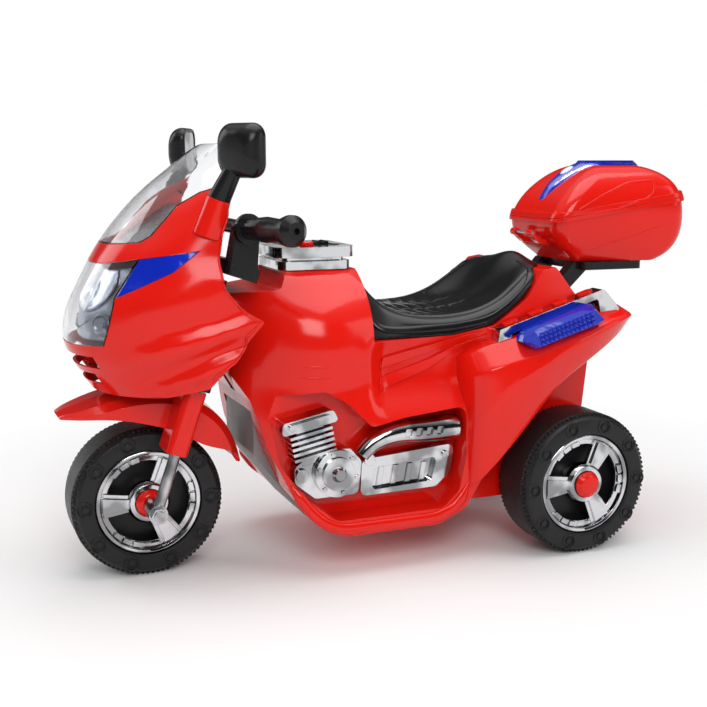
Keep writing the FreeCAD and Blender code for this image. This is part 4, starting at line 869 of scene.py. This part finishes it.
@dataclass
class Chassis(SubAssembly):
    """Body halves, saddle, dash and plated trim.

    Routes are corners on the left side; the seat rim and the body lip are (x, z) as seen from the left.
    A ridge's size is half its width, and its height.
    """

    seat_half: Pairs = (
        (0.051, 0.052), (0.04, 0.06), (0.022, 0.076), (-0.005, 0.09), (-0.045, 0.097),
        (-0.085, 0.099), (-0.118, 0.098), (-0.146, 0.093), (-0.172, 0.084), (-0.19, 0.072))
    seat_rim: Pairs = (
        (0.044, 0.316), (0.0435, 0.296), (0.042, 0.28), (0.034, 0.2735),
        (0.015, 0.272), (-0.05, 0.2735), (-0.085, 0.2775), (-0.103, 0.2825),
        (-0.125, 0.2955), (-0.147, 0.3115), (-0.16, 0.327), (-0.17, 0.34))
    body_lip: Pairs = (
        (0.15, 0.108), (0.14, 0.091), (0.128, 0.075), (0.114, 0.063),
        (0.096, 0.0565), (0.04, 0.056), (-0.02, 0.056), (-0.04, 0.063),
        (-0.054, 0.076), (-0.062, 0.092))
    tank_lines: Tuple[Route, ...] = (
        ((0.1344, 0.1003, 0.2403), (0.1063, 0.1091, 0.2398)),
        ((0.1373, 0.0983, 0.228), (0.1038, 0.1085, 0.2273)))
    case_line: Route = ((-0.2576, 0.0598, 0.3534), (-0.3052, 0.0718, 0.3663), (-0.3477, 0.0806, 0.3808))
    rim_size: Pair = (0.0046, 0.0026)
    foot_size: Pair = (0.0066, 0.0045)
    tank_size: Pair = (0.0013, 0.0008)
    crease_size: Pair = (0.0016, 0.0008)
    outline_step: float = 0.004
    seat_voxel: float = 0.0014
    seat_easing: int = 8
    groove_inset: float = 0.0135
    groove_width: float = 0.0021
    groove_depth: float = 0.0019
    pleat_pitch: float = 0.0165
    pleat_depth: float = 0.0011
    pleat_bow: float = 2.4
    pleat_inset: float = 0.02
    pleat_ease: float = 0.012
    pleat_front: float = 0.02
    pleat_back: float = -0.112
    pleat_fade: float = 0.02
    seam_half: float = 0.03
    seam_flare: float = 0.1
    seam_width: float = 0.0018
    seam_depth: float = 0.0012
    stud_columns: int = 13
    stud_rows: int = 3
    stud_pitch: Pair = (0.0058, 0.0056)
    stud_size: Point = (0.0038, 0.0, 0.0016)
    stud_middle: Point = (-0.168, 0.1547, 0.2725)
    stud_rise: Pair = (0.0247, 0.082)

    def dress(self) -> None:
        """Add the saddle's rim and relief, the studs of the light bars and the lines of the body."""
        self.saddle()
        self.light_studs()
        self.body_lines()

    def saddle(self) -> None:
        """Give the seat a rolled rim, a pressed groove round the edge and cross pleats."""
        seat = self.skins["seat"]
        self.ridge("seat", "seat_rim", Finish.BLACK_GLOSS, self.seat_rim, self.rim_size,
                   step=self.outline_step, from_left=True)
        holder = link("seat_fine", seat.data.copy())
        remesh = holder.modifiers.new("fine", "REMESH")
        remesh.mode = "VOXEL"
        remesh.voxel_size = self.seat_voxel
        mesh = applied(holder)
        work = bmesh.new()
        work.from_mesh(mesh)
        for _ in range(self.seat_easing):
            bmesh.ops.smooth_vert(work, verts=work.verts, factor=0.5, use_axis_x=True, use_axis_y=True,
                                  use_axis_z=True)
        work.normal_update()
        moves = [(vert, vert.normal.copy(), self.relief(vert.co, vert.normal)) for vert in work.verts]
        for vert, normal, depth in moves:
            vert.co -= normal * depth
        work.to_mesh(mesh)
        work.free()
        old = seat.data
        seat.data = mesh
        bpy.data.meshes.remove(old)
        mesh.materials.clear()
        mesh.materials.append(self.shop.get(Finish.BLACK_GLOSS))
        mesh.polygons.foreach_set("use_smooth", [True] * len(mesh.polygons))

    def relief(self, at: Vector, normal: Vector) -> float:
        """Depth of the pressed pattern at one point of the seat.

        Args:
            at: point.
            normal: outward normal there.

        Returns:
            Depth in metres.
        """
        up = clamp((normal.z + 0.35 * max(normal.x, 0.0) - 0.3) / 0.3)
        inset = interpolate(self.seat_half, at.x) - abs(at.y)
        groove = self.groove_depth * math.exp(-((inset - self.groove_inset) / self.groove_width) ** 2)
        wide = clamp((inset - self.pleat_inset) / self.pleat_ease)
        along = clamp((self.pleat_front - at.x) / self.pleat_fade)
        along *= clamp((at.x - self.pleat_back) / self.pleat_fade)
        bow = at.x + self.pleat_bow * at.y * at.y
        pleat = self.pleat_depth * (0.5 + 0.5 * math.cos(2 * math.pi * bow / self.pleat_pitch)) ** 3
        off_seam = abs(at.y) - self.seam_half - self.seam_flare * at.x
        seam = self.seam_depth * math.exp(-(off_seam / self.seam_width) ** 2) * along
        return up * (groove + wide * along * pleat + wide * seam)

    def light_studs(self) -> None:
        """Set rows of small pyramids into both light bars."""
        tilt = (-math.pi / 2, math.atan2(*self.stud_rise), 0.0)
        mesh = grid_pattern("light_studs", self.stud_columns, self.stud_rows, self.stud_pitch, self.stud_size,
                            True, self.stud_middle, tilt, self.shop.get(Finish.BLUE))
        self.add(both_sides(mesh), "light_studs", Finish.BLUE, FACETED)

    def body_lines(self) -> None:
        """Round the foot of the body and raise the short lines on the tank and the top case."""
        flank = self.surface("body_left")
        foot = bead(self.body_lip, flank, self.foot_size, self.outline_step, from_left=True)
        lines = [bead(line, flank, self.tank_size) for line in self.tank_lines]
        self.add(both_sides(joined([foot] + lines, "body_lip")), "body_lip", Finish.RED, ROUNDED)
        self.ridge("case_base", "case_line", Finish.RED, self.case_line, self.crease_size)


@dataclass
class FrontEnd(SubAssembly):
    """Everything that turns with the handlebar, without the wheel.

    A lamp fin is its route and size; a row of mouth ribs is its count, pitch, block and middle.
    """

    bulb: Point = (0.6, 0.0539, 0.2914)
    bulb_scale: float = 0.8
    bulb_profile: Pairs = (
        (0.0, 0.004), (0.0022, 0.0036), (0.0034, 0.002), (0.0036, 0.0006), (0.009, 0.0018),
        (0.0122, 0.0046), (0.013, 0.0062), (0.014, 0.0066), (0.0148, 0.006), (0.0152, 0.004),
        (0.0152, -0.002), (0.0, -0.002))
    lamp_fins: Tuple[Tuple[Route, Pair], ...] = (
        (((0.319, 0.0481, 0.3483), (0.3236, 0.054, 0.3321), (0.3338, 0.05, 0.3174),
          (0.344, 0.0393, 0.3075), (0.3526, 0.0185, 0.3023)), (0.0026, 0.0036)),
        (((0.3583, 0.003, 0.2834), (0.3508, 0.0326, 0.295)), (0.003, 0.0035)),
        (((0.348, 0.006, 0.33), (0.3499, 0.006, 0.3126)), (0.0017, 0.003)),
        (((0.34, 0.015, 0.334), (0.3472, 0.0204, 0.3148)), (0.0017, 0.003)),
        (((0.338, 0.025, 0.337), (0.3433, 0.0296, 0.3179)), (0.0017, 0.003)))
    mouth_ribs: Tuple[Tuple[int, float, Point, Point], ...] = (
        (5, 0.018, (0.036, 0.003, 0.02), (0.309, 0.0, 0.2345)),
        (3, 0.012, (0.05, 0.004, 0.016), (0.326, 0.0, 0.2535)),
        (1, 0.01, (0.05, 0.006, 0.009), (0.334, 0.0, 0.2575)),
        (1, 0.01, (0.03, 0.006, 0.008), (0.3235, 0.0, 0.2403)))
    fairing_lip: Route = (
        (0.214, 0.1, 0.42), (0.225, 0.11, 0.387), (0.23, 0.12, 0.36), (0.226, 0.12, 0.331),
        (0.21, 0.13, 0.311), (0.186, 0.14, 0.296), (0.21, 0.13, 0.261), (0.239, 0.12, 0.224))
    lip_size: Pair = (0.0016, 0.0012)
    lamp_sharp: float = 40.0

    def dress(self) -> None:
        """Add the shapes behind the headlamp lens, the ribs of the mouth and the lip of the fairing."""
        mirror = self.surface("headlamp_reflector")
        hit, normal = mirror.ray_cast(Vector(self.bulb), Vector((-1.0, 0.0, 0.0)))[:2]
        profile = [(r * self.bulb_scale, h * self.bulb_scale) for r, h in self.bulb_profile]
        shapes = [lathe(profile, standing(hit, normal))]
        shapes.extend(bead(line, mirror, size) for line, size in self.lamp_fins)
        self.add(both_sides(joined(shapes, "lamp_shapes")), "lamp_shapes", Finish.LAMP, self.lamp_sharp)
        red = self.shop.get(Finish.RED)
        ribs = [grid_pattern("mouth_ribs", 1, count, (pitch, pitch), block, False, middle, LEVEL, red)
                for count, pitch, block, middle in self.mouth_ribs]
        self.add(joined(ribs, "mouth_ribs"), "mouth_ribs", Finish.RED)
        self.ridge("front_fairing", "fairing_lip", Finish.RED, self.fairing_lip, self.lip_size)


@dataclass
class Wheel(SubAssembly):
    """One wheel: tyre, plated cover and hub cap."""

    axle: Point = LEVEL
    tread: Optional[Material] = None
    tooth_count: int = 90
    tooth_ring: float = 0.0826
    tooth: Point = (0.003, 0.0042, 0.0026)
    tooth_slant: float = 0.5
    tooth_out: float = 0.0252
    hoop_count: int = 10
    hoop_ring: float = 0.0715
    hoop: Point = (0.0084, 0.0, 0.0012)
    look_from: float = 0.2
    off_seam: float = 0.003

    def build(self) -> None:
        """Show the wheel with a tread that runs round its own axle."""
        super().build()
        self.tread = Tyre("tyre_" + self.body.value, self.axle).build()
        self.skins[self.tyre()].data.materials[0] = self.tread

    def tyre(self) -> str:
        """Return the name of the tyre's node."""
        return next(node for node in self.skins if "tyre" in node)

    def dress(self) -> None:
        """Add the fine teeth along both shoulders of the tread and the hoops on the sidewalls."""
        rings = []
        wall = self.surface(self.tyre())
        x, y, z = self.axle
        for side in (-1.0, 1.0):
            spot = Vector((x + self.hoop_ring, y + side * self.look_from, z + self.off_seam))
            face = wall.ray_cast(spot, Vector((0.0, -side, 0.0)))[0].y
            rings.append(ring_pattern("sidewall_hoops", self.hoop_count, self.hoop_ring, self.hoop,
                                      math.pi / 2, (x, face, z), self.tread, True))
            rings.append(ring_pattern("tread_teeth", self.tooth_count, self.tooth_ring, self.tooth,
                                      side * self.tooth_slant, (x, y + side * self.tooth_out, z), self.tread))
        piece = self.add(joined(rings, "tread_teeth"), self.body.value + "_teeth", Finish.TYRE, FACETED)
        piece.data.materials[0] = self.tread


@dataclass
class Lid(SubAssembly):
    """Hinged lid of the top case with its beacon."""

    panel: Route = (
        (-0.2379, 0.0652, 0.402), (-0.25, 0.069, 0.3925), (-0.2894, 0.0754, 0.4037),
        (-0.3348, 0.0782, 0.418), (-0.34, 0.072, 0.437), (-0.3047, 0.0676, 0.4344),
        (-0.265, 0.0675, 0.4171))
    panel_size: Pair = (0.0015, 0.0009)
    # Place and shape of the white dome that is the beacon's painted highlight.
    highlight_x: float = -0.262
    highlight_lift: float = 0.0042
    highlight_stretch: float = 1.5
    highlight_profile: Pairs = (
        (0.0, 0.0022), (0.002, 0.0021), (0.004, 0.0017), (0.0055, 0.001), (0.0064, 0.0002),
        (0.0066, -0.001), (0.0, -0.001))
    drop_rows: int = 26
    drop_columns: int = 17
    drop_front: float = -0.2225
    drop_long: float = 0.085
    drop_half: float = 0.0205
    drop_rise: float = 0.0052
    drop_sunk: float = 0.0006

    def dress(self) -> None:
        """Add the side panels' edges, the front of the beacon and a white dome on it as a painted highlight.
        """
        self.ridge("case_lid", "lid_panels", Finish.RED, self.panel, self.panel_size, closed=True)
        shell = self.surface("case_lid")
        self.add(self.drop(shell), "beacon_front", Finish.BLUE, ROUNDED)
        # A plain white oval dome on the beacon is a painted highlight, not a lamp.
        hit, normal = shell.ray_cast(Vector((self.highlight_x, 0.0, OVERHEAD)), DOWN)[:2]
        place = standing(hit + normal * self.highlight_lift, normal)
        eye = lathe(self.highlight_profile, place @ Matrix.Diagonal((1.0, self.highlight_stretch, 1.0, 1.0)))
        self.add(eye, "beacon_painted_highlight", Finish.PAINTED_HIGHLIGHT, ROUNDED)

    def sheet(self, work: BMesh, shell: BVHTree, thick: float) -> List[BMVert]:
        """Lay one face of the drop on the lid.

        Args:
            work: mesh to add to.
            shell: the lid's surface.
            thick: 1 for the swollen outer face, 0 for the one on the lid.

        Returns:
            The points, row by row.
        """
        points = []
        for row in range(self.drop_rows):
            share = row / (self.drop_rows - 1)
            x = self.drop_front - self.drop_long * share
            half = self.drop_half * math.sin(math.pi * min(1.0, 0.06 + 0.62 * share)) ** 0.75
            ends = min(1.0, 0.15 + share * 5.0), min(1.0, (1.0 - share) * 6.0)
            for column in range(self.drop_columns):
                t = 2.0 * column / (self.drop_columns - 1) - 1.0
                hit, normal = shell.ray_cast(Vector((x, t * half, OVERHEAD)), DOWN)[:2]
                swell = (1.0 - t * t) ** 0.6 * ends[0] * ends[1]
                lift = self.drop_rise * swell * thick - self.drop_sunk
                points.append(work.verts.new(hit + normal * lift))
        return points

    def drop(self, shell: BVHTree) -> Mesh:
        """Carry the beacon down the front of the lid as a rounded drop.

        Args:
            shell: the lid's surface.

        Returns:
            The new mesh.
        """
        work = bmesh.new()
        sheets = [self.sheet(work, shell, thick) for thick in (1.0, 0.0)]
        for sheet, flip in zip(sheets, (False, True)):
            for row in range(self.drop_rows - 1):
                for column in range(self.drop_columns - 1):
                    a = row * self.drop_columns + column
                    b = a + self.drop_columns
                    quad = [sheet[a], sheet[a + 1], sheet[b + 1], sheet[b]]
                    work.faces.new(quad[::-1] if flip else quad)
        bmesh.ops.remove_doubles(work, verts=work.verts, dist=1e-6)
        bmesh.ops.recalc_face_normals(work, faces=work.faces)
        return finished(work, "beacon_front")


@dataclass
class Pedal(SubAssembly):
    """Foot pedal."""

    rib_count: int = 6
    rib_pitch: Pair = (0.0065, 0.004)
    rib_wide: float = 0.0022
    rib_high: float = 0.0016
    rib_share: float = 0.7
    rib_ahead: float = 0.006
    look_from: float = 0.2

    def dress(self) -> None:
        """Add grip ribs on top of the pedal."""
        low, high = extent(self.skins["foot_pedal"])
        above = Vector(((low.x + high.x) / 2 + self.rib_ahead, (low.y + high.y) / 2, self.look_from))
        hit, normal = self.surface("foot_pedal").ray_cast(above, DOWN)[:2]
        block = (self.rib_wide, (high.y - low.y) * self.rib_share, self.rib_high)
        mesh = grid_pattern("pedal_ribs", self.rib_count, 1, self.rib_pitch, block, False, tuple(hit),
                            (0.0, math.atan2(normal.x, normal.z), 0.0), self.shop.get(Finish.BLACK))
        self.add(mesh, "pedal_ribs", Finish.BLACK)


@dataclass
class Studio:
    """Camera, light and floor.

    A lamp is its name, place, the point it faces, its side and its watts. A stop of the sky is a height
    and a tone.
    """

    eye: Point = (0.532, 1.209, 0.467)
    look: Point = (-0.3751, -0.9099, -0.1771)
    lens: float = 56.0
    sensor: float = 36.0
    ambient: float = 0.42
    floor_half: float = 30.0
    lamps: Tuple[Tuple[str, Point, Point, float, float], ...] = (
        ("key", (0.55, 1.75, 1.35), (0.0, 0.0, 0.25), 0.9, 17.0),
        ("fill", (-1.5, 1.3, 1.0), (0.0, 0.0, 0.25), 1.0, 6.0),
        ("top", (-0.1, 0.1, 2.2), (0.0, 0.0, 0.2), 1.8, 26.0),
        ("rim", (1.5, -1.2, 1.2), (0.0, 0.0, 0.3), 1.0, 8.0))
    stops: Pairs = (
        (0.0, 0.7), (0.06, 0.55), (0.16, 0.06), (0.5, 0.05), (0.66, 0.6), (0.9, 0.9))
    front_range: Pair = (0.15, 0.8)
    front_tone: Pair = (1.0, 0.16)

    def build(self) -> None:
        """Make the stage and light it."""
        scene = bpy.context.scene
        camera = bpy.data.cameras.new("camera")
        camera.lens = self.lens
        camera.sensor_width = self.sensor
        scene.camera = self.place("camera", camera, self.eye, self.look)
        mesh = bpy.data.meshes.new("floor")
        s = self.floor_half
        mesh.from_pydata([(-s, -s, 0), (s, -s, 0), (s, s, 0), (-s, s, 0)], [], [(0, 1, 2, 3)])
        mesh.materials.append(Floor().build())
        floor = link("floor", mesh)
        for name, at, aim, size, power in self.lamps:
            light = bpy.data.lights.new(name, "AREA")
            light.size = size
            light.energy = power
            self.place(name, light, at, Vector(aim) - Vector(at))
        scene.world = self.sky()
        scene.view_settings.view_transform = "Standard"

    def place(self, name: str, data: ID, at: Point, way: Sequence[float]) -> Object:
        """Put a camera or a lamp into the scene.

        Args:
            name: object name.
            data: camera or light.
            at: position.
            way: direction it faces.

        Returns:
            The new object.
        """
        holder = link(name, data)
        holder.location = at
        holder.rotation_mode = "QUATERNION"
        holder.rotation_quaternion = Vector(way).to_track_quat("-Z", "Y")
        return holder

    def sky(self) -> World:
        """Make the surround: white behind the toy, a dark band overhead for the plated parts to mirror.

        Returns:
            The new world.
        """
        world = bpy.data.worlds.new("studio")
        world.use_nodes = True
        t = Tree(world.node_tree)
        way = t.add("ShaderNodeTexCoord").outputs["Generated"]
        split = t.add("ShaderNodeSeparateXYZ", Vector=way).outputs
        band = t.add("ShaderNodeValToRGB")
        t.put(band.inputs[0], split["Z"])
        tones = band.color_ramp.elements
        while len(tones) < len(self.stops):
            tones.new(0.5)
        for element, (at, tone) in zip(tones, self.stops):
            element.position = at
            element.color = (tone, tone, tone, 1.0)
        near, far = self.front_range
        bright, dim = self.front_tone
        front = t.add("ShaderNodeMapRange", Value=split["Y"], From_Min=near, From_Max=far, To_Min=bright,
                      To_Max=dim)
        soft = t.add("ShaderNodeBackground", Color=WHITE, Strength=self.ambient).outputs[0]
        mirror = t.add("ShaderNodeBackground", Color=band.outputs[0], Strength=front.outputs[0]).outputs[0]
        white = t.add("ShaderNodeBackground", Color=WHITE).outputs[0]
        rays = t.add("ShaderNodeLightPath").outputs
        plain = t.math("MAXIMUM", rays["Is Camera Ray"], rays["Is Transmission Ray"])
        lit = t.mix(rays["Is Glossy Ray"], soft, mirror)
        t.add("ShaderNodeOutputWorld", Surface=t.mix(plain, lit, white))
        return world


@dataclass
class Motorbike:
    """The whole toy."""

    shop: Shop
    cad: Nodes
    front_axle: Point = (0.293, 0.0, 0.085)
    rear_left_axle: Point = (-0.199, 0.126, 0.085)
    rear_right_axle: Point = (-0.199, -0.126, 0.085)

    def plan(self) -> List[SubAssembly]:
        """List the sub-assemblies with their finishes.

        Returns:
            The sub-assemblies in building order.
        """
        red, black, grey, blue = Finish.RED, Finish.BLACK, Finish.GREY, Finish.BLUE
        chrome, steel, tyre = Finish.CHROME, Finish.STEEL, Finish.TYRE
        base = (self.shop, self.cad)
        return [
            Chassis(*base, Body.MAIN, {
                "body_left": red, "body_right": red, "front_keel": grey, "head_tube": black,
                "steering_bushes": grey, "seat": Finish.BLACK_GLOSS, "console": chrome,
                "console_panel": black, "engine_covers": chrome, "exhausts": chrome,
                "side_frames": chrome, "side_rails": chrome, "rail_reflectors": Finish.ACCENT,
                "light_bars": blue, "case_rack": black, "case_base": red, "hinge_pins": steel,
                "rear_axle": steel, "rear_axle_hardware": steel, "gearbox": grey, "drive_motor": steel,
                "battery_tray": black, "battery": grey, "control_board": black,
                "charging_socket": black, "pedal_bracket": black}),
            FrontEnd(*base, Body.STEERING, {
                "fork_legs": steel, "fork_crown": black, "steering_stem": steel, "front_axle": steel,
                "front_axle_hardware": steel, "front_fender": red, "front_fairing": red,
                "headlamp_lens": Finish.CLEAR, "headlamp_reflector": Finish.LAMP, "marker_lenses": blue,
                "windshield": Finish.CLEAR, "inner_dash": black, "fairing_floor": black,
                "mirror_housings": black, "mirror_glasses": Finish.MIRROR, "handlebar": black,
                "grips": black}),
            Wheel(*base, Body.FRONT_WHEEL, {
                "front_tyre": tyre, "front_rims": chrome, "front_hub_caps": red}, axle=self.front_axle),
            Wheel(*base, Body.REAR_LEFT, {
                "rear_tyre_left": tyre, "rear_rim_left": chrome, "rear_hub_cap_left": red},
                axle=self.rear_left_axle),
            Wheel(*base, Body.REAR_RIGHT, {
                "rear_tyre_right": tyre, "rear_rim_right": chrome, "rear_hub_cap_right": red,
                "drive_hub": grey}, axle=self.rear_right_axle),
            Lid(*base, Body.LID, {"case_lid": red, "beacon_lens": blue}),
            SubAssembly(*base, Body.MUSIC, {"music_button": Finish.ACCENT}),
            SubAssembly(*base, Body.HORN, {"horn_button": Finish.ACCENT}),
            SubAssembly(*base, Body.ROCKER, {"direction_rocker": black}),
            Pedal(*base, Body.PEDAL, {"foot_pedal": black}),
        ]

    def build(self) -> None:
        """Build and dress every sub-assembly."""
        for assembly in self.plan():
            assembly.build()
            assembly.dress()
            LOG.info("%s: %d nodes", assembly.body.value, len(assembly.nodes))


def main() -> None:
    """Build the scene in order."""
    logging.basicConfig(level=logging.INFO, format="%(name)s: %(message)s")
    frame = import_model()
    Motorbike(Shop(), frame["nodes"]).build()
    Studio().build()


if __name__ == "__main__":
    main()
